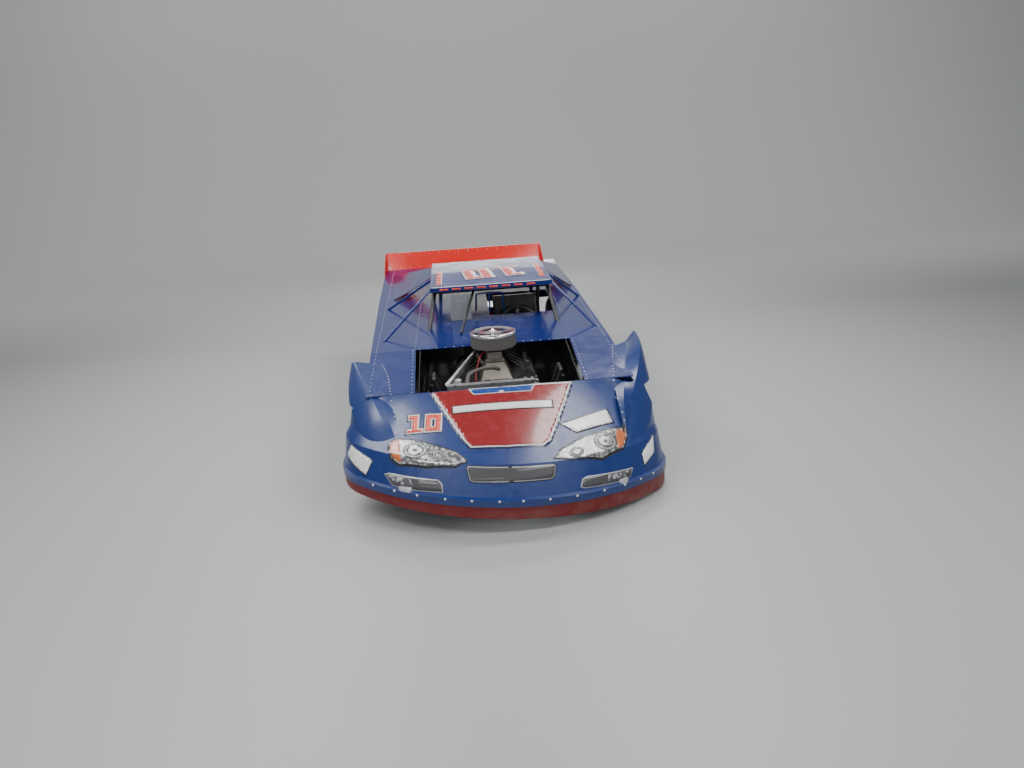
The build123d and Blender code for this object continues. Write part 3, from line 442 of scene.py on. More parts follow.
# %% [markdown]
# ## Metal, rubber and black finishes
# Tubes are black powder coat, castings are dull aluminium with a pebbled skin, the lid is polished, and the
# engine's iron is painted dark. Bare sheet shows brushed lines. All of it gets uneven roughness, because a
# mirror-smooth part looks like a toy.

# %% Metal and rubber finishes


def powder_coat(name, colour, roughness=0.38):
    material, tree, shader = plain_material(name, colour, roughness, Coat_Weight=0.25, Coat_Roughness=0.25)
    grain = use_group(tree, "grain", Size=700.0)
    relief(tree, shader, (grain, "Height"), 0.0003)
    vary(tree, shader, (grain, "Tone"), "Roughness", roughness - 0.08, roughness + 0.12)
    dusted(tree, shader, 0.6, 0.25)
    return material


def cast_metal(name, colour, roughness, depth):
    material, tree, shader = plain_material(name, colour, roughness, 1.0)
    grain = use_group(tree, "grain", Size=420.0)
    tint(tree, shader, (grain, "Tone"), shade(colour, 0.55), colour)
    vary(tree, shader, (grain, "Tone"), "Roughness", roughness - 0.1, roughness + 0.15)
    relief(tree, shader, (grain, "Height"), depth)
    return material


def bare_sheet(name, colour, roughness):
    material, tree, shader = plain_material(name, colour, roughness, 1.0)
    lines = use_group(tree, "brushed", Size=900.0)
    tint(tree, shader, (lines, "Tone"), shade(colour, 0.75), colour)
    vary(tree, shader, (lines, "Tone"), "Roughness", roughness - 0.08, roughness + 0.12)
    relief(tree, shader, (lines, "Height"), 0.0001)
    return material


def polished(name, colour):
    material, tree, shader = plain_material(name, colour, 0.09, 1.0)
    grain = use_group(tree, "grain", Size=90.0)
    vary(tree, shader, (grain, "Tone"), "Roughness", 0.05, 0.16)
    return material


def rubber():
    material, tree, shader = plain_material("tyre_rubber", (0.016, 0.016, 0.017), 0.72)
    grain = use_group(tree, "grain", Size=900.0)
    tint(tree, shader, (grain, "Tone"), (0.010, 0.010, 0.011), (0.030, 0.029, 0.028))
    vary(tree, shader, (grain, "Tone"), "Roughness", 0.6, 0.85)
    relief(tree, shader, (grain, "Height"), 0.0004)
    dusted(tree, shader, 0.8, 0.35)
    return material


finish.update({
    "chassis_black": powder_coat("chassis_black", (0.012, 0.012, 0.013)),
    "panel_black": sheet_vinyl("panel_black", (0.006, 0.006, 0.007), 0.002),
    "cast_aluminium": cast_metal("cast_aluminium", (0.50, 0.49, 0.46), 0.5, 0.0006),
    "cast_iron": powder_coat("cast_iron", (0.035, 0.035, 0.038), 0.55),
    "bare_aluminium": bare_sheet("bare_aluminium", (0.72, 0.72, 0.72), 0.34),
    "header_steel": bare_sheet("header_steel", (0.34, 0.31, 0.28), 0.36),
    "chrome": polished("chrome", (0.86, 0.86, 0.87)),
    "zinc": bare_sheet("zinc", (0.60, 0.60, 0.62), 0.3),
    "tyre_rubber": rubber(),
    "filter_cloth": powder_coat("filter_cloth", (0.150, 0.140, 0.135), 0.8),
    "intake_cast": cast_metal("intake_cast", (0.44, 0.40, 0.35), 0.5, 0.0006),
    "seat_shell": powder_coat("seat_shell", (0.010, 0.010, 0.011), 0.45),
})
print("all finishes:", len(finish))

# %% [markdown]
# ## Give each solid its finish
# The frame's solids are right as they are, so most of them stay and only get a finish. A short table gives
# each finish the first letters of its nodes' names, and a loop hands them out.

# %% Hand out the finishes
solids_by_finish = {
    "valance_red": ("nose_valance",),
    "moulded_blue": ("nose_", "flare_"),
    "deck_blue": ("fender_", "door_", "quarter_", "interior_deck", "rear_deck", "tail_panel", "sail_",
                  "window_posts"),
    "roof_blue": ("roof",),
    "signal_red": ("spoiler", "fuel_cell"),
    "chassis_black": ("frame", "front_frame", "rear_frame", "roll_cage", "front_suspension",
                      "rear_suspension"),
    "panel_black": ("bay_panels", "dash"),
    "bare_aluminium": ("coolant_pipe", "floor_pan", "radiator", "rim_"),
    "cast_iron": ("engine_block", "rear_axle"),
    "cast_aluminium": ("knuckle_",),
    "intake_cast": ("intake",),
    "filter_cloth": ("air_cleaner",),
    "header_steel": ("headers",),
    "seat_shell": ("seat", "steering_wheel"),
    "zinc": ("steering_rack",),
    "tyre_rubber": ("tyre_",),
}
node_finish = {start: name for name, starts in solids_by_finish.items() for start in starts}


def finish_of(name):
    starts = [start for start in node_finish if name.startswith(start)]
    return node_finish[max(starts, key=len)]


for name, node in nodes.items():
    node.data.materials.clear()
    node.data.materials.append(finish[finish_of(name)])
print("solids with a finish:", len(nodes))

# %% [markdown]
# ## Pressing stickers onto the body
# The numbers, plates and lamps on such a nose are printed vinyl, warmed and pressed onto the moulding. A
# sticker is made the same way here: a flat outline is filled with small triangles, and every corner is
# pushed along one direction until it meets the bodywork. It then stops a millimetre short, so that it never
# sinks in. Layers of one sticker share an outline that grows or shrinks, and each layer lies a little
# higher than the one under it.

# %% Helpers that make pieces
down, front = (0, 0, -1), (0, 1, 0)


def add_piece(name, mesh, material, body="root", smooth=True):
    """Turn a bmesh into an object with one finish that moves with a body of the car."""
    data = bpy.data.meshes.new(name)
    mesh.to_mesh(data)
    mesh.free()
    data.polygons.foreach_set("use_smooth", [smooth] * len(data.polygons))
    data.materials.append(finish[material])
    piece = bpy.data.objects.new(name, data)
    bpy.context.scene.collection.objects.link(piece)
    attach(piece, body)
    return piece


def join_rings(mesh, rings):
    """Faces between each ring of corners and the next."""
    for ring, after in zip(rings, rings[1:]):
        for k in range(len(ring)):
            n = (k + 1) % len(ring)
            mesh.faces.new((ring[k], ring[n], after[n], after[k]))


def lathe(mesh, centre, profile, steps, upright=True):
    """Turn a (radius, height) profile round an upright axis, or round one along the car."""
    rings = []
    for radius, height in profile:
        ring = []
        for k in range(steps):
            angle = 2 * math.pi * k / steps
            u, v = radius * math.cos(angle), radius * math.sin(angle)
            ring.append(mesh.verts.new(centre + Vector((u, v, height) if upright else (u, height, v))))
        rings.append(ring)
    join_rings(mesh, rings)
    bmesh.ops.remove_doubles(mesh, verts=mesh.verts, dist=1e-6)


def surface_of(*names):
    """One search tree over several solids of the frame."""
    mesh = bmesh.new()
    for name in names:
        mesh.from_mesh(nodes[name].data)
    tree = BVHTree.FromBMesh(mesh)
    mesh.free()
    return tree


# %% Helpers for outlines


def resampled(points, step, closed=True):
    """The same line with a point at least every step."""
    result = []
    count = len(points) if closed else len(points) - 1
    for index in range(count):
        a, b = points[index], points[(index + 1) % len(points)]
        parts = max(1, math.ceil((b - a).length / step))
        result += [a.lerp(b, k / parts) for k in range(parts)]
    return result if closed else result + [points[-1]]


def grown(outline, by):
    """A closed outline moved outwards by a distance."""
    area = sum(a.x * b.y - b.x * a.y for a, b in zip(outline, outline[1:] + outline[:1]))
    side = 1 if area > 0 else -1
    result = []
    for index, point in enumerate(outline):
        before = (point - outline[index - 1]).normalized()
        after = (outline[(index + 1) % len(outline)] - point).normalized()
        out_a, out_b = Vector((before.y, -before.x)) * side, Vector((after.y, -after.x)) * side
        middle = (out_a + out_b).normalized()
        result.append(point + middle * by / max(0.5, middle.dot(out_a)))
    return result


def inside(point, outline):
    """Whether a point lies inside a closed outline."""
    hit = False
    for a, b in zip(outline, outline[1:] + outline[:1]):
        crosses = (a.y > point.y) != (b.y > point.y)
        if crosses and point.x < (b.x - a.x) * (point.y - a.y) / (b.y - a.y) + a.x:
            hit = not hit
    return hit


def plan(*pairs):
    """Points given by x and y only."""
    return [(x, y, 0) for x, y in pairs]


def elevation(*pairs):
    """Points given by x and z only, as seen from in front."""
    return [(x, 0, z) for x, z in pairs]


# %% Helpers that press a sheet on
layer_gap = 0.0011
vinyl_thickness = 0.0004


def directions(aim):
    """The unit aim and the two directions across it: level, and up or forwards."""
    aim = Vector(aim).normalized()
    level = Vector((aim.y, -aim.x, 0))
    level = level.normalized() if level.length > 0.01 else Vector((1, 0, 0))
    return aim, level, level.cross(aim)


def touch(surface, place, aim):
    """Where something pushed along aim through a place meets the surface, and the way out of it."""
    reach = 5
    spot, normal, _, _ = surface.ray_cast(Vector(place) - reach * aim, aim, 2 * reach)
    if spot is None:
        return None, None
    return spot, (normal if normal.dot(aim) < 0 else -normal)


def press_sheet(name, outline, material, surface, lift, aim, step):
    """Fill a flat outline and press it on. The outline is in the two directions across the aim."""
    aim, level, up = directions(aim)
    rim = resampled(outline, step)
    low = Vector((min(p.x for p in rim), min(p.y for p in rim)))
    high = Vector((max(p.x for p in rim), max(p.y for p in rim)))
    points = rim[:]
    for row in range(1, int((high.y - low.y) / step) + 1):
        for column in range(1, int((high.x - low.x) / step) + 1):
            point = low + Vector((column, row)) * step
            if inside(point, outline):
                points.append(point)
    flat, _, faces, _, _, _ = delaunay_2d_cdt(points, [], [list(range(len(rim)))], 1, 1e-6)
    mesh = bmesh.new()
    corners = []
    for point in flat:
        spot, normal = touch(surface, level * point.x + up * point.y, aim)
        corners.append(None if spot is None else mesh.verts.new(spot + normal * lift))
    for face in faces:
        if all(corners[k] is not None for k in face):
            mesh.faces.new([corners[k] for k in face])
    loose = [vertex for vertex in mesh.verts if not vertex.link_faces]
    bmesh.ops.delete(mesh, geom=loose, context="VERTS")
    bmesh.ops.recalc_face_normals(mesh, faces=mesh.faces)
    piece = add_piece(name, mesh, material)
    skin = piece.modifiers.new("vinyl", "SOLIDIFY")
    skin.thickness = vinyl_thickness


def lay_sticker(name, points, layers, surface, aim=down, first=0.0012, step=0.02):
    """Layers of (growth in mm, finish) over one outline given in mm in the car's frame."""
    _, level, up = directions(aim)
    spots = [Vector(point) / 1000 for point in points]
    flat = [Vector((level.dot(spot), up.dot(spot))) for spot in spots]
    for number, (growth, material) in enumerate(layers):
        outline = grown(flat, growth / 1000) if growth else flat
        press_sheet(f"{name}_{material}", outline, material, surface, first + layer_gap * number, aim, step)


nose_nodes = ("nose_left", "nose_right", "flare_left", "flare_right")
nose = surface_of(*nose_nodes)
print("faces to press on:", sum(len(nodes[name].data.polygons) for name in nose_nodes))

# %% [markdown]
# ## The nose's big shield and its plates
# A dark red shield with a white line and a navy border runs from the engine bay down the nose. A blue notch
# is cut into its upper edge and a white bar with a black outline lies across it. The bar and the three
# small plates are blank, and the number is a plain one in block strokes.

# %% Stickers on the nose


def sticker_finish(name, colour, roughness=0.25):
    finish[name] = sticker(name, colour, roughness)


sticker_finish("number_orange", (0.78, 0.060, 0.030))
sticker_finish("print_black", (0.012, 0.012, 0.014))
sticker_finish("notch_blue", (0.012, 0.060, 0.290))
sticker_finish("lamp_silver", (0.42, 0.43, 0.44), 0.2)
sticker_finish("lamp_grey", (0.11, 0.115, 0.12), 0.2)
sticker_finish("lamp_amber", (0.55, 0.13, 0.035), 0.22)

over_shield = 0.0046
shield = plan((-481, -1747), (-282, -2210), (-236, -2285), (-11, -2296), (240, -2280), (281, -2240),
              (496, -1755), (20, -1745))
lay_sticker("shield", shield, [(27, "border_navy"), (11, "clean_white"), (0, "decal_red")], nose)
notch = plan((-221, -1749), (-193, -1797), (212, -1800), (240, -1751))
lay_sticker("shield_notch", notch, [(7, "clean_white"), (0, "notch_blue")], nose, first=over_shield)
bar = plan((-347, -1905), (351, -1900), (347, -1962), (-349, -1968))
lay_sticker("shield_bar", bar, [(8, "print_black"), (0, "clean_white")], nose, first=over_shield)

plate_left = plan((387, -2105), (728, -1950), (755, -2035), (480, -2165))
lay_sticker("plate_left", plate_left, [(9, "print_black"), (0, "clean_white")], nose)

# %% The plain number


def digit_boxes(text, width, height, stroke, gap):
    """Block digits as boxes of a plain number, each (x, y, x, y) from the number's lower left corner."""
    boxes = []
    start = 0.0
    for digit in text:
        end = start + width
        if digit == "1":
            stem, stem_end = start + width / 2 - stroke / 2, start + width / 2 + stroke / 2
            flag, foot = start + width / 2 - 1.3 * stroke, 0.7 * stroke
            boxes.append((stem, 0, stem_end, height))
            boxes.append((flag, height - stroke, stem, height))
            boxes.append((start, 0, stem, foot))
            boxes.append((stem_end, 0, end, foot))
        else:
            boxes.append((start, 0, start + stroke, height))
            boxes.append((end - stroke, 0, end, height))
            boxes.append((start + stroke, height - stroke, end - stroke, height))
            boxes.append((start + stroke, 0, end - stroke, stroke))
        start += width + gap
    return boxes


def lay_number(name, text, corner, right, up, layers, surface, size):
    """A number drawn from its lower left corner along two directions in plan, in mm."""
    first, stroke_gap, step = 0.0010, 0.00004, 0.02
    for number, (growth, material) in enumerate(layers):
        for index, (x0, y0, x1, y1) in enumerate(digit_boxes(text, *size)):
            outline = []
            for x, y in ((x0 - growth, y0 - growth), (x1 + growth, y0 - growth),
                         (x1 + growth, y1 + growth), (x0 - growth, y1 + growth)):
                across = corner[0] + x * right[0] + y * up[0]
                along = corner[1] + x * right[1] + y * up[1]
                outline.append(Vector((across, along)) / 1000)
            lift = first + layer_gap * number + stroke_gap * index
            press_sheet(f"{name}_{material}_{index}", outline, material, surface, lift, down, step)


# width, height, stroke and gap of the digits, in mm
nose_digits = (104, 150, 34, 22)
nose_number = [(16, "print_black"), (9, "clean_white"), (0, "number_orange")]
lay_number("nose_number", "10", (-668, -2085), (0.993, -0.115), (0.06, 0.998), nose_number, nose, nose_digits)

# %% [markdown]
# ## Lamps and grille
# The real car has no lamps: race cars of this class carry printed ones. The print shows a silver housing
# with one large and one small round lens and an amber end, a black mesh grille in a light frame, and two
# small fog lamps.

# %% The two printed finishes


def mesh_print():
    """Dark diamond mesh: two sets of slanting lines over black."""
    material, tree, shader = plain_material("mesh_print", (0.015, 0.015, 0.017), 0.3, Coat_Weight=0.4,
                                            Coat_Roughness=0.1)
    place = add_node(tree, "ShaderNodeTexCoord")
    masks = []
    slant, pitch = 38, 26.0
    for turn in (slant, -slant):
        turned = add_node(tree, "ShaderNodeMapping")
        turned.inputs["Rotation"].default_value = (0, math.radians(turn), 0)
        lines = add_node(tree, "ShaderNodeTexWave", wave_type="BANDS", bands_direction="X", Scale=pitch)
        cut = add_node(tree, "ShaderNodeMapRange", From_Min=0.72, From_Max=0.9)
        link(tree, (place, "Object"), (turned, "Vector"))
        link(tree, (turned, "Vector"), (lines, "Vector"))
        link(tree, (lines, "Fac"), (cut, "Value"))
        masks.append(cut)
    both = add_node(tree, "ShaderNodeMath", operation="MAXIMUM")
    link(tree, (masks[0], "Result"), (both, 0))
    link(tree, (masks[1], "Result"), (both, 1))
    tint(tree, shader, (both, 0), (0.006, 0.006, 0.007), (0.13, 0.13, 0.135))
    return material


def lens_print():
    """A silver lamp housing seen through clear plastic: streaks and facets of light and dark grey."""
    material, tree, shader = plain_material("lens_print", (0.4, 0.4, 0.41), 0.15, Coat_Weight=0.8,
                                            Coat_Roughness=0.05)
    place = add_node(tree, "ShaderNodeTexCoord")
    cells = add_node(tree, "ShaderNodeTexVoronoi", Scale=34.0)
    streaks = add_node(tree, "ShaderNodeTexNoise", Scale=26.0, Detail=4.0)
    both = add_node(tree, "ShaderNodeMath", operation="MULTIPLY")
    link(tree, (place, "Object"), (cells, "Vector"))
    link(tree, (place, "Object"), (streaks, "Vector"))
    link(tree, (cells, "Distance"), (both, 0))
    link(tree, (streaks, "Fac"), (both, 1))
    spread = add_node(tree, "ShaderNodeMapRange", From_Min=0.05, From_Max=0.32)
    link(tree, (both, 0), (spread, "Value"))
    tint(tree, shader, (spread, "Result"), (0.62, 0.62, 0.62), (0.10, 0.10, 0.105))
    return material


finish["mesh_print"] = mesh_print()
finish["lens_print"] = lens_print()
print("finishes with the printed ones:", len(finish))

# %% Printed lamps
fine_step = 0.012
amber_lift, lens_lift, lens_gap = 0.0038, 0.0040, 0.0007
lens_rings = [(1.0, "lamp_grey"), (0.90, "lamp_silver"), (0.74, "lamp_grey"), (0.62, "lens_print"),
              (0.30, "clean_white"), (0.18, "lamp_grey")]


def oval(centre, across, along, turn):
    """An ellipse drawn in plan."""
    points = []
    count = 28
    for k in range(count):
        angle = 2 * math.pi * k / count
        u, v = across * math.cos(angle), along * math.sin(angle)
        points.append((centre[0] + u * math.cos(turn) - v * math.sin(turn),
                       centre[1] + u * math.sin(turn) + v * math.cos(turn), 0))
    return points


def lay_lens(name, centre, size, turn, rings):
    """Round lens print: ovals inside each other, each (share of the size, finish)."""
    for number, (share, material) in enumerate(rings):
        points = oval(centre, size[0] * share, size[1] * share, turn)
        flat = [Vector(point[:2]) / 1000 for point in points]
        lift = lens_lift + lens_gap * number
        press_sheet(f"{name}_{number}_{material}", flat, material, nose, lift, down, fine_step)


lamps = {
    "right": dict(
        shape=plan((-794, -2175), (-784, -2130), (-745, -2112), (-640, -2152), (-548, -2200), (-351, -2315),
                   (-285, -2392), (-280, -2412), (-355, -2420), (-535, -2375), (-720, -2295), (-775, -2245)),
        amber=plan((-786, -2176), (-778, -2138), (-744, -2122), (-722, -2130), (-706, -2290), (-722, -2288),
                   (-768, -2240)),
        big=(-612, -2248), small=(-443, -2335), turn=-0.50),
    "left": dict(
        shape=plan((301, -2397), (354, -2325), (517, -2205), (678, -2125), (780, -2072), (822, -2060),
                   (836, -2110), (791, -2215), (623, -2330), (400, -2392)),
        amber=plan((822, -2070), (828, -2112), (786, -2208), (748, -2240), (760, -2100)),
        big=(668, -2205), small=(452, -2332), turn=0.62),
}
for side, lamp in lamps.items():
    housing = [(9, "print_black"), (0, "lens_print")]
    lay_sticker(f"lamp_{side}", lamp["shape"], housing, nose, first=0.0016, step=fine_step)
    amber = [(0, "lamp_amber")]
    lay_sticker(f"lamp_end_{side}", lamp["amber"], amber, nose, first=amber_lift, step=fine_step)
    lay_lens(f"lens_big_{side}", lamp["big"], (86, 66), lamp["turn"], lens_rings)
    lay_lens(f"lens_small_{side}", lamp["small"], (60, 36), lamp["turn"], lens_rings[:4])
print("printed lamps:", len(lamps))

# %% Grille, fog lamps and side plates
grille = elevation((-274, 414), (-262, 419), (282, 381), (293, 374), (280, 326), (262, 316), (-238, 342),
                   (-260, 352))
lay_sticker("grille", grille, [(10, "print_black"), (5, "lamp_silver"), (0, "mesh_print")], nose, front)
fogs = {
    "right": (elevation((-818, 352), (-792, 360), (-473, 346), (-449, 326), (-448, 288), (-700, 291),
                        (-775, 303)),
              elevation((-806, 350), (-790, 353), (-650, 348), (-640, 306), (-702, 308), (-762, 318))),
    "left": (elevation((455, 236), (470, 270), (501, 278), (832, 240), (812, 206), (778, 197), (480, 227)),
             elevation((650, 254), (818, 237), (802, 220), (774, 216), (642, 224))),
}
over_mesh = 0.0036
for side, (mesh_part, lamp_part) in fogs.items():
    lay_sticker(f"fog_{side}", mesh_part, [(6, "lamp_silver"), (0, "mesh_print")], nose, front)
    lay_sticker(f"fog_lamp_{side}", lamp_part, [(0, "lens_print")], nose, front, over_mesh)
side_plates = {
    "right": ([(-1060, -1985, 470), (-910, -2176, 412), (-961, -2201, 325), (-1092, -1965, 400)],
              (0.75, 0.66, 0)),
    "left": ([(1044, -1992, 361), (1032, -2082, 267), (938, -2207, 226), (930, -2165, 293)],
             (-0.75, 0.66, 0)),
}
for side, (plate, aim) in side_plates.items():
    lay_sticker(f"plate_side_{side}", plate, [(7, "print_black"), (0, "clean_white")], nose, aim)
print("fog lamps:", len(fogs), "and side plates:", len(side_plates))

# %% [markdown]
# ## Bolts, rivets and seams
# Thin sheet and mouldings are held by rows of rivets along every edge. Each head is a low dome of a few
# faces that stands on the surface. The heads of one row are one mesh, and the rows follow the lines of the
# panels.

# %% Rows of heads


def add_dome(mesh, spot, normal, radius, height, sides=8):
    """A low round head standing on a spot."""
    normal = normal.normalized()
    level = normal.orthogonal().normalized()
    other = normal.cross(level)
    rings = []
    for share, rise in ((1.0, -0.2), (1.0, 0.45), (0.62, 0.9)):
        ring = []
        for k in range(sides):
            angle = 2 * math.pi * k / sides
            out = level * math.cos(angle) + other * math.sin(angle)
            ring.append(mesh.verts.new(spot + out * radius * share + normal * height * rise))
        rings.append(ring)
    join_rings(mesh, rings)
    mesh.faces.new(rings[-1])


def stud_rows(name, rows, surface, pitch, radius, material, aim=down):
    """Heads along lines given in mm, pressed onto the surface."""
    aim = Vector(aim)
    radius /= 1000
    mesh = bmesh.new()
    count = 0
    for row in rows:
        line = resampled([Vector(point) / 1000 for point in row], pitch / 1000, closed=False)
        for place in line:
            spot, normal = touch(surface, place, aim)
            if spot is not None:
                add_dome(mesh, spot, normal, radius, 0.6 * radius)
                count += 1
    add_piece(name, mesh, material)
    return count


body_skin = surface_of(*nose_nodes, "fender_left", "fender_right", "interior_deck", "rear_deck")
lip_height, lip_lean = 236, 0.064
lip_places = (-907, -761, -611, -431, -262, -87, 63, 236, 416, 605, 757, 883, 990)
lip_bolts = [[(x, 0, lip_height - lip_lean * x)] for x in lip_places]
heads = stud_rows("lip_bolts", lip_bolts, nose, pitch=60, radius=8, material="clean_white", aim=front)
foot_lines = [
    plan((-738, -2060), (-747, -2005), (-764, -1875), (-780, -1780), (-827, -1380), (-886, -1120)),
    plan((837, -2040), (816, -1850), (824, -1750), (893, -1350), (946, -1080)),
]
heads += stud_rows("flare_rivets", foot_lines, body_skin, pitch=62, radius=6, material="zinc")
deck_rows = [
    plan((-634, -1722), (-656, -865)),
    plan((634, -1722), (656, -865)),
    plan((-606, -840), (606, -840)),
    plan((-940, -1650), (-955, -860), (-985, 780), (-1010, 2480)),
    plan((930, -1650), (925, -860), (918, 780), (888, 2480)),
    plan((-640, -830), (-640, 1060)),
    plan((680, 60), (680, 960)),
    plan((-960, 1070), (900, 1070)),
]
heads += stud_rows("deck_rivets", deck_rows, body_skin, pitch=75, radius=5, material="zinc")
seam_rows = [
    plan((-16, -2420), (-12, -2300)),
    plan((-625, -1745), (-740, -1760)),
    plan((625, -1745), (800, -1760)),
]
heads += stud_rows("seam_bolts", seam_rows, nose, pitch=45, radius=5, material="print_black")
print("rivet and bolt heads:", heads)

# %% [markdown]
# ## Roof and spoiler dressing
# The roof carries a big number that reads from behind, a red bar along each side and a white line over its
# front edge. Red dashes lie along that edge. The spoiler is bright red sheet, held by two rows of rivets.

# %% Stickers on the roof
roof = surface_of("roof")
roof_number = [(26, "print_black"), (16, "clean_white"), (0, "number_orange")]
roof_digits = (240, 470, 80, 60)
lay_number("roof_number", "10", (330, 720), (-0.995, -0.10), (0.10, -0.995), roof_number, roof, roof_digits)
roof_bars = {"right": plan((-454, 42), (-399, 42), (-399, 657), (-454, 657)),
             "left": plan((505, 107), (561, 107), (561, 776), (505, 776))}
for side, roof_bar in roof_bars.items():
    lay_sticker(f"roof_bar_{side}", roof_bar, [(0, "number_orange")], roof)
roof_line = plan((-480, -82), (572, -82), (572, -66), (-480, -66))
lay_sticker("roof_line", roof_line, [(0, "clean_white")], roof)
dash_middle = 1000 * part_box("roof")[0].z + 18
dash_length, dash_pitch, dash_half, first_dash = 78, 112, 8, -420
low, high = dash_middle - dash_half, dash_middle + dash_half
for number in range(8):
    left = first_dash + dash_pitch * number
    right = left + dash_length
    strip = elevation((left, low), (right, low), (right, high), (left, high))
    lay_sticker(f"roof_dash_{number}", strip, [(0, "number_orange")], roof, front)

# %% Rivets on the roof and spoiler
roof_rows = [plan((-490, -40), (-490, 1180)), plan((580, -40), (580, 1180))]
heads = stud_rows("roof_rivets", roof_rows, roof, pitch=80, radius=5, material="zinc")
blade = surface_of("spoiler")
blade_low, blade_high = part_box("spoiler")
inset = 0.05
spoiler_rows = [elevation(*((1000 * x, z) for x in (blade_low.x + inset, blade_high.x - inset)))
                for z in (1005, 1145)]
heads += stud_rows("spoiler_rivets", spoiler_rows, blade, pitch=120, radius=5, material="zinc", aim=front)
print("heads on roof and spoiler:", heads)

# %% [markdown]
# ## Tyres
# A dirt tyre is wide, round-shouldered and soft, with a flat band of separate square blocks. The carcass is
# one profile turned round the axle, and the blocks are the same small tapered block set round it in
# staggered rows. It takes the place of the plain tyre of the frame and keeps its width, its rim seat and
# its outside.

# %% The carcass and one block


def turned(mesh, profile, steps, centre):
    """Turn a closed (across, radius) profile round an axle along X."""
    rings = []
    for k in range(steps):
        angle = 2 * math.pi * k / steps
        u, v = math.cos(angle), math.sin(angle)
        rings.append([mesh.verts.new(centre + Vector((x, r * u, r * v))) for x, r in profile])
    for k, ring in enumerate(rings):
        after = rings[(k + 1) % steps]
        for j in range(len(ring)):
            n = (j + 1) % len(ring)
            mesh.faces.new((ring[j], after[j], after[n], ring[n]))


def tread_block(mesh, centre, angle, x, half_x, half_long, low, high):
    """One tapered block standing on the carcass."""
    corners = []
    taper = 0.84
    for r, share in ((low, 1.0), (high, taper)):
        for da, dx in ((-1, -1), (-1, 1), (1, 1), (1, -1)):
            a = angle + da * half_long * share / high
            spot = Vector((x + dx * half_x * share, r * math.cos(a), r * math.sin(a)))
            corners.append(mesh.verts.new(centre + spot))
    for face in ((4, 5, 6, 7), (0, 1, 5, 4), (1, 2, 6, 5), (2, 3, 7, 6), (3, 0, 4, 7)):
        mesh.faces.new([corners[k] for k in face])


# %% Build the tyres
# rows, block width and the shoulder's start are shares of the half width; the other sizes are in metres
tread_rows = (-0.74, -0.44, -0.15, 0.15, 0.44, 0.74)
blocks_round, carcass_steps = 46, 96
block_half_wide, block_half_long = 0.125, 0.017
shoulder_from = 0.7
tread_depth = 0.009
shoulder_drop = 0.003


def make_tyre(node, body):
    """Carcass and tread blocks in the place of one plain tyre. Returns its count of faces."""
    low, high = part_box(node)
    centre = (low + high) / 2
    half = (high.x - low.x) / 2
    radius = (high.z - low.z) / 2
    bore = min(math.hypot(v.co.y - centre.y, v.co.z - centre.z) for v in nodes[node].data.vertices)
    seat = bore + 0.0005
    carcass = radius - tread_depth
    outside = [(-0.80, seat), (-0.86, seat + 0.010), (-0.84, seat + 0.022), (-0.93, seat + 0.06),
               (-0.985, 0.66 * radius), (-1.0, 0.76 * radius), (-0.985, 0.86 * radius),
               (-0.93, 0.935 * radius), (-0.86, 0.965 * radius), (-0.80, carcass), (-0.4, carcass + 0.001)]
    lining = [(0.74, seat + 0.012), (0.86, 0.74 * radius), (0.70, 0.90 * radius)]
    profile = [(x * half, r) for x, r in outside] + [(-x * half, r) for x, r in reversed(outside)]
    profile += [(x * half, r) for x, r in lining] + [(-x * half, r) for x, r in reversed(lining)]
    mesh = bmesh.new()
    turned(mesh, profile, carcass_steps, centre)
    for row, share in enumerate(tread_rows):
        for k in range(blocks_round):
            angle = 2 * math.pi * (k + 0.5 * (row % 2)) / blocks_round
            top = radius if abs(share) < shoulder_from else radius - shoulder_drop
            foot = carcass - 0.002
            tread_block(mesh, centre, angle, share * half, block_half_wide * half, block_half_long, foot, top)
    bmesh.ops.recalc_face_normals(mesh, faces=mesh.faces)
    piece = add_piece(node + "_dressed", mesh, "tyre_rubber", body, smooth=False)
    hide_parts(node)
    return len(piece.data.polygons)


corners = ("front_left", "front_right", "rear_left", "rear_right")
print("tyre faces:", [make_tyre(f"tyre_{corner}", f"wheel_{corner}") for corner in corners])

# %% [markdown]
# ## Wheel bolts
# A bead lock is a ring bolted to the outer lip of the rim, so a row of small bolts goes round it. Five
# larger nuts hold the wheel to its hub.

# %% Bolt rings on the rims
# both rings: count of heads, ring radius or distance inside the rim's edge, head radius
lock_count, lock_inset, lock_head = 16, 0.010, 0.006
nut_count, nut_ring, nut_head = 5, 0.0635, 0.011


def bolt_rings(corner):
    low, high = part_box(f"rim_{corner}")
    centre = (low + high) / 2
    outer = 1 if centre.x > 0 else -1
    rim = surface_of(f"rim_{corner}")
    aim = Vector((-outer, 0, 0))
    mesh = bmesh.new()
    lock_ring = (high.z - low.z) / 2 - lock_inset
    for count, ring_r, head_r in ((lock_count, lock_ring, lock_head), (nut_count, nut_ring, nut_head)):
        for k in range(count):
            angle = 2 * math.pi * k / count
            place = centre + Vector((0, ring_r * math.cos(angle), ring_r * math.sin(angle)))
            spot, _ = touch(rim, place, aim)
            if spot is not None:
                add_dome(mesh, spot, -aim, head_r, head_r, 6)
    add_piece(f"wheel_bolts_{corner}", mesh, "zinc", f"wheel_{corner}", smooth=False)


for corner in corners:
    bolt_rings(corner)
print("wheels with bolts:", len(corners))

# %% [markdown]
# ## The open engine bay
# With the hood off, the eye goes to the air cleaner: a pleated filter between a base and a polished, dished
# lid with a stud in its middle. The pleats are a zigzag ring, and the lid is one profile turned round.

# %% Air cleaner
cleaner_low, cleaner_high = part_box("air_cleaner")
cleaner = (cleaner_low + cleaner_high) / 2
cleaner_r = (cleaner_high.x - cleaner_low.x) / 2
lid_skirt = 0.020


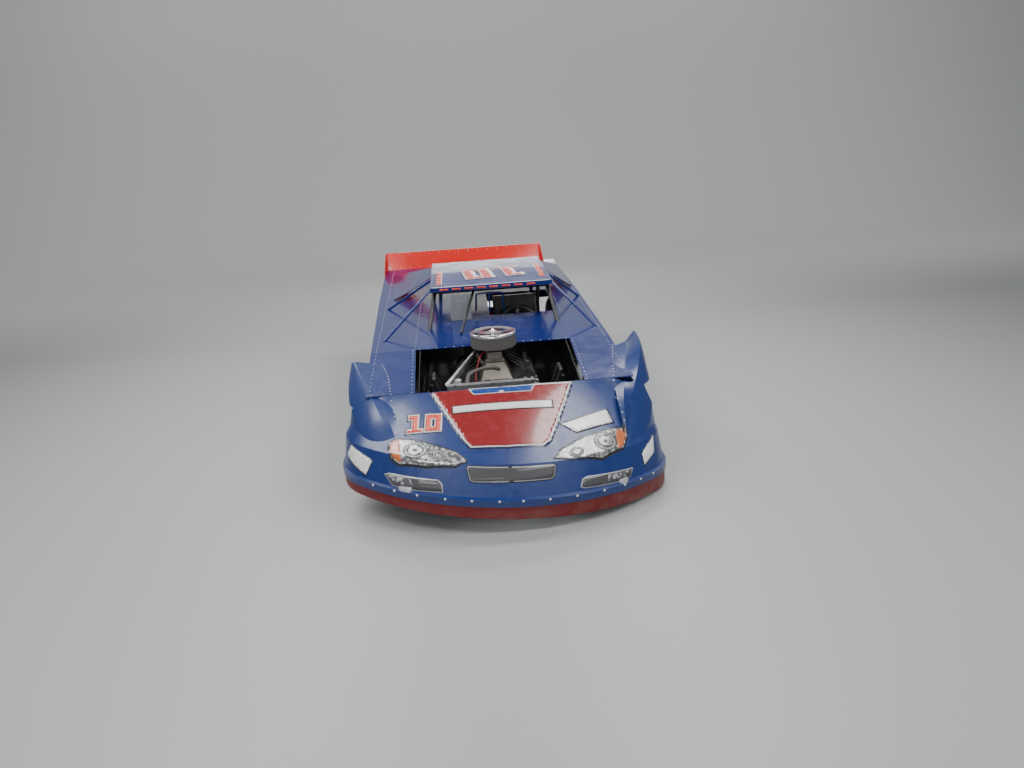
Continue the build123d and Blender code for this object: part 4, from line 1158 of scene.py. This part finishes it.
def make_pleats():
    """The zigzag of the filter paper, standing just outside the plain drum."""
    mesh = bmesh.new()
    folds = 150
    outer, inner = cleaner_r - 0.0015, cleaner_r - 0.0055
    rings = []
    for z in (cleaner_low.z + 0.006, cleaner_high.z - lid_skirt):
        ring = []
        for k in range(2 * folds):
            angle = math.pi * k / folds
            r = inner if k % 2 else outer
            ring.append(mesh.verts.new((cleaner.x + r * math.cos(angle), cleaner.y + r * math.sin(angle), z)))
        rings.append(ring)
    join_rings(mesh, rings)
    add_piece("filter_pleats", mesh, "filter_cloth", smooth=False)


def make_lid():
    """The polished lid: a raised rim, a shallow dish and a stepped stud."""
    mesh = bmesh.new()
    profile = [(cleaner_r + 0.0012, -lid_skirt), (cleaner_r + 0.0015, -0.004), (cleaner_r - 0.004, 0.002),
               (cleaner_r - 0.016, 0.003), (cleaner_r - 0.030, 0.0005), (0.06, 0.0012), (0.030, 0.004),
               (0.014, 0.005), (0.012, 0.014), (0.006, 0.015), (0.005, 0.026), (0.0, 0.027)]
    lathe(mesh, Vector((cleaner.x, cleaner.y, cleaner_high.z)), profile, steps=72)
    add_piece("cleaner_lid", mesh, "chrome")


make_pleats()
make_lid()
print("filter:", round(2 * cleaner_r, 3), "m across")

# %% [markdown]
# ## Hoses, leads and the bottle
# A hose could be a curve with a bevel, but a mesh made ring by ring keeps its round section in every bend
# and needs no curve later. A few points give its way, and a smooth line is drawn through them. The bottle
# is a profile turned round an upright axis, and the clamps are small boxes with rounded edges.

# %% Their finishes


def rubber_finish(name, colour, roughness=0.6):
    material, tree, shader = plain_material(name, colour, roughness)
    grain = use_group(tree, "grain", Size=600.0)
    tint(tree, shader, (grain, "Tone"), shade(colour, 0.7), shade(colour, 1.2))
    relief(tree, shader, (grain, "Height"), 0.0003)
    finish[name] = material


rubber_finish("hose_brown", (0.10, 0.085, 0.075))
rubber_finish("lead_black", (0.02, 0.02, 0.022))
rubber_finish("lead_red", (0.30, 0.02, 0.02))
rubber_finish("bottle_white", (0.62, 0.62, 0.58), 0.35)
rubber_finish("panel_grey", (0.30, 0.31, 0.32), 0.4)
rubber_finish("belt_black", (0.018, 0.018, 0.020), 0.75)
rubber_finish("pad_black", (0.022, 0.022, 0.024), 0.8)
print("all finishes now:", len(finish))

# %% Hoses and leads


def tube_mesh(mesh, points, radius):
    """A round tube along a smooth line through points, made ring by ring."""
    line = []
    count = len(points)
    sides, parts = 12, 10
    for i in range(count - 1):
        p0, p1, p2, p3 = points[max(0, i - 1)], points[i], points[i + 1], points[min(count - 1, i + 2)]
        for k in range(parts):
            t = k / parts
            line.append(0.5 * ((2 * p1) + (p2 - p0) * t + (2 * p0 - 5 * p1 + 4 * p2 - p3) * t * t
                               + (3 * p1 - p0 - 3 * p2 + p3) * t * t * t))
    line.append(points[-1])
    rings = []
    side = (line[1] - line[0]).orthogonal().normalized()
    for k, point in enumerate(line):
        along = (line[min(k + 1, len(line) - 1)] - line[max(k - 1, 0)]).normalized()
        side = (side - along * side.dot(along)).normalized()
        other = along.cross(side)
        rings.append([mesh.verts.new(point + radius * (side * math.cos(a) + other * math.sin(a)))
                      for a in (2 * math.pi * j / sides for j in range(sides))])
    join_rings(mesh, rings)
    mesh.faces.new(rings[0][::-1])
    mesh.faces.new(rings[-1])


def tubes(name, lines, radius, material):
    """One piece of several tubes, with points and radius in mm."""
    mesh = bmesh.new()
    for line in lines:
        tube_mesh(mesh, [Vector(point) / 1000 for point in line], radius / 1000)
    add_piece(name, mesh, material)


hose = [(-235, -1505, 690), (-215, -1420, 740), (-120, -1330, 752), (-30, -1280, 742), (20, -1240, 715)]
tubes("coolant_hose", [hose], 15, "hose_brown")
leads = []
first_plug, plug_pitch, cap_y = -1170, 125, -840
for side in (-1, 1):
    for k in range(4):
        plug = first_plug + plug_pitch * k
        leads.append([(side * 12, cap_y, 765), (side * (90 + 8 * k), (plug + cap_y) / 2, 745),
                      (side * 215, plug, 690), (side * 250, plug, 652)])
tubes("ignition_leads", leads, 4, "lead_black")
fuel_line = [(-62, -1010, 800), (-110, -1060, 790), (-150, -1130, 700), (-170, -1200, 600)]
tubes("fuel_line", [fuel_line], 6, "lead_red")
print("ignition leads:", len(leads))

# %% Bottle and clamps


def make_bottle():
    """The overflow bottle: a round body, a shoulder, a neck and a cap in one profile."""
    mesh = bmesh.new()
    place = Vector((-0.300, -1.395, 0.545))
    profile = [(0.0, 0.0), (0.040, 0.0), (0.045, 0.006), (0.045, 0.105), (0.038, 0.120), (0.018, 0.128),
               (0.018, 0.140), (0.022, 0.141), (0.022, 0.158), (0.0, 0.159)]
    lathe(mesh, place, profile, steps=28)
    add_piece("overflow_bottle", mesh, "bottle_white")


def box_between(mesh, low, high):
    """A plain box between two corners, added to a mesh. Returns its corners."""
    low, high = Vector(low), Vector(high)
    verts = bmesh.ops.create_cube(mesh, size=1.0)["verts"]
    for vertex in verts:
        vertex.co = Vector([low[i] + (vertex.co[i] + 0.5) * (high[i] - low[i]) for i in range(3)])
    return verts


def rounded_box(mesh, low, high, bevel):
    """A box between two corners with rounded edges, added to a mesh."""
    verts = box_between(mesh, low, high)
    edges = list({edge for vertex in verts for edge in vertex.link_edges})
    bmesh.ops.bevel(mesh, geom=edges, offset=bevel, segments=3, affect="EDGES", profile=0.5)


make_bottle()
clamps = bmesh.new()
clamp_width = 0.022
clamp_places = (-0.34, -0.06, 0.19, 0.24)
for x in clamp_places:
    rounded_box(clamps, (x, -1.560, 0.690), (x + clamp_width, -1.490, 0.712), 0.003)
add_piece("radiator_clamps", clamps, "zinc")
print("clamps:", len(clamp_places))

# %% [markdown]
# ## Cockpit
# A light guard of thin tubes stands in front of the driver to stop stones. The passenger side has a grey
# sheet. The dash has three plain dials.

# %% Guard, sheet and dials
guard_tubes = [
    [(-94, -15, 1088), (24, -15, 1096), (142, -15, 1088)],
    [(-94, -15, 1088), (-100, 60, 985), (-104, 130, 905)],
    [(24, -15, 1096), (24, 20, 985), (24, 50, 905)],
    [(142, -15, 1088), (150, 20, 985), (156, 50, 905)],
]
tubes("stone_guard", guard_tubes, 8, "moulded_blue")
grey = bmesh.new()
rounded_box(grey, (-0.336, -0.034, 0.862), (-0.151, -0.030, 1.090), 0.0015)
add_piece("passenger_sheet", grey, "panel_grey")
dial_places = (0.47, 0.53, 0.585)


def make_dials():
    """Three plain dials on the dash: a white face, a rim round it and one hand."""
    faces, rims, hands = bmesh.new(), bmesh.new(), bmesh.new()
    face_r, rim_r, rim_depth = 0.022, 0.026, 0.008
    face = [(0.0, 0.004), (face_r, 0.004)]
    rim = [(face_r, 0.0), (rim_r, 0.0), (rim_r, rim_depth), (face_r, rim_depth), (face_r, 0.0)]
    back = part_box("dash")[1].y + 0.001
    for x in dial_places:
        centre = Vector((x, back, 0.80))
        lathe(faces, centre, face, steps=28, upright=False)
        lathe(rims, centre, rim, steps=28, upright=False)
        low, high = centre + Vector((-0.001, 0.005, -0.004)), centre + Vector((0.001, 0.0065, 0.017))
        rounded_box(hands, low, high, 0.0004)
    add_piece("dial_faces", faces, "clean_white")
    add_piece("dial_rims", rims, "zinc")
    add_piece("dial_hands", hands, "number_orange")


make_dials()
print("dials:", len(dial_places))

# %% [markdown]
# ## Seat pads and harness
# A pad is cloth stretched over foam, so its faces bulge a little and its edges stay tight. It could be
# sculpted by hand, but a cloth simulation finds such a shape by itself: a box of many small faces gets a
# little air pressure inside for some frames, and the result is kept as a plain mesh. The belts are flat
# webbing, made as thin boxes.

# %% Seat pads
pad_frames = 14
pad_pressure = 1.0
jitter = 0.0006


def make_pad(name, low, high, seed):
    """A stuffed pad: a box whose cloth skin is blown up from inside for a moment, then kept."""
    mesh = bmesh.new()
    box_between(mesh, low, high)
    bmesh.ops.subdivide_edges(mesh, edges=mesh.edges, cuts=11, use_grid_fill=True)
    rng = random.Random(seed)
    for vertex in mesh.verts:
        vertex.co += Vector([rng.uniform(-jitter, jitter) for _ in range(3)])
    pad = add_piece(name, mesh, "pad_black")
    cloth = pad.modifiers.new("skin", "CLOTH")
    cloth.settings.quality = 6
    cloth.settings.mass = 0.3
    cloth.settings.use_pressure = True
    cloth.settings.uniform_pressure_force = pad_pressure
    cloth.settings.tension_stiffness = 30
    cloth.settings.compression_stiffness = 30
    cloth.settings.bending_stiffness = 2
    cloth.settings.effector_weights.gravity = 0.0
    cloth.point_cache.frame_start = 1
    cloth.point_cache.frame_end = pad_frames
    scene = bpy.context.scene
    for step in range(1, pad_frames + 1):
        scene.frame_set(step)
        bpy.context.view_layer.update()
    shape = bpy.data.meshes.new_from_object(pad.evaluated_get(bpy.context.evaluated_depsgraph_get()))
    moved = max((a.co - b.co).length for a, b in zip(shape.vertices, pad.data.vertices))
    print(name, "skin moved by up to", round(1000 * moved, 2), "mm")
    pad.modifiers.remove(cloth)
    shape.polygons.foreach_set("use_smooth", [True] * len(shape.polygons))
    pad.data = shape
    scene.frame_set(1)
    round_off = pad.modifiers.new("round", "SUBSURF")
    round_off.levels = 1
    round_off.render_levels = 1


seat_x = 0.290
pads = {
    "seat_pad": ((seat_x - 0.165, 0.170, 0.335), (seat_x + 0.165, 0.420, 0.372), 5),
    "back_pad": ((seat_x - 0.150, 0.560, 0.480), (seat_x + 0.150, 0.600, 0.800), 9),
}
for name, (low, high, seed) in pads.items():
    make_pad(name, low, high, seed)
print("pads:", len(pads))

# %% Harness
belt_half, belt_edge = 0.036, 0.0012
belts = bmesh.new()
for side in (-1, 1):
    x = seat_x + side * 0.085
    rounded_box(belts, (x - belt_half, 0.545, 0.50), (x + belt_half, 0.549, 0.84), belt_edge)
rounded_box(belts, (seat_x - 0.17, 0.330, 0.385), (seat_x + 0.17, 0.402, 0.389), belt_edge)
harness = add_piece("harness", belts, "belt_black")
buckle = bmesh.new()
rounded_box(buckle, (seat_x - 0.03, 0.340, 0.388), (seat_x + 0.03, 0.395, 0.400), 0.004)
add_piece("harness_buckle", buckle, "zinc")
print("harness faces:", len(harness.data.polygons))

# %% Measure the scene
low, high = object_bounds()
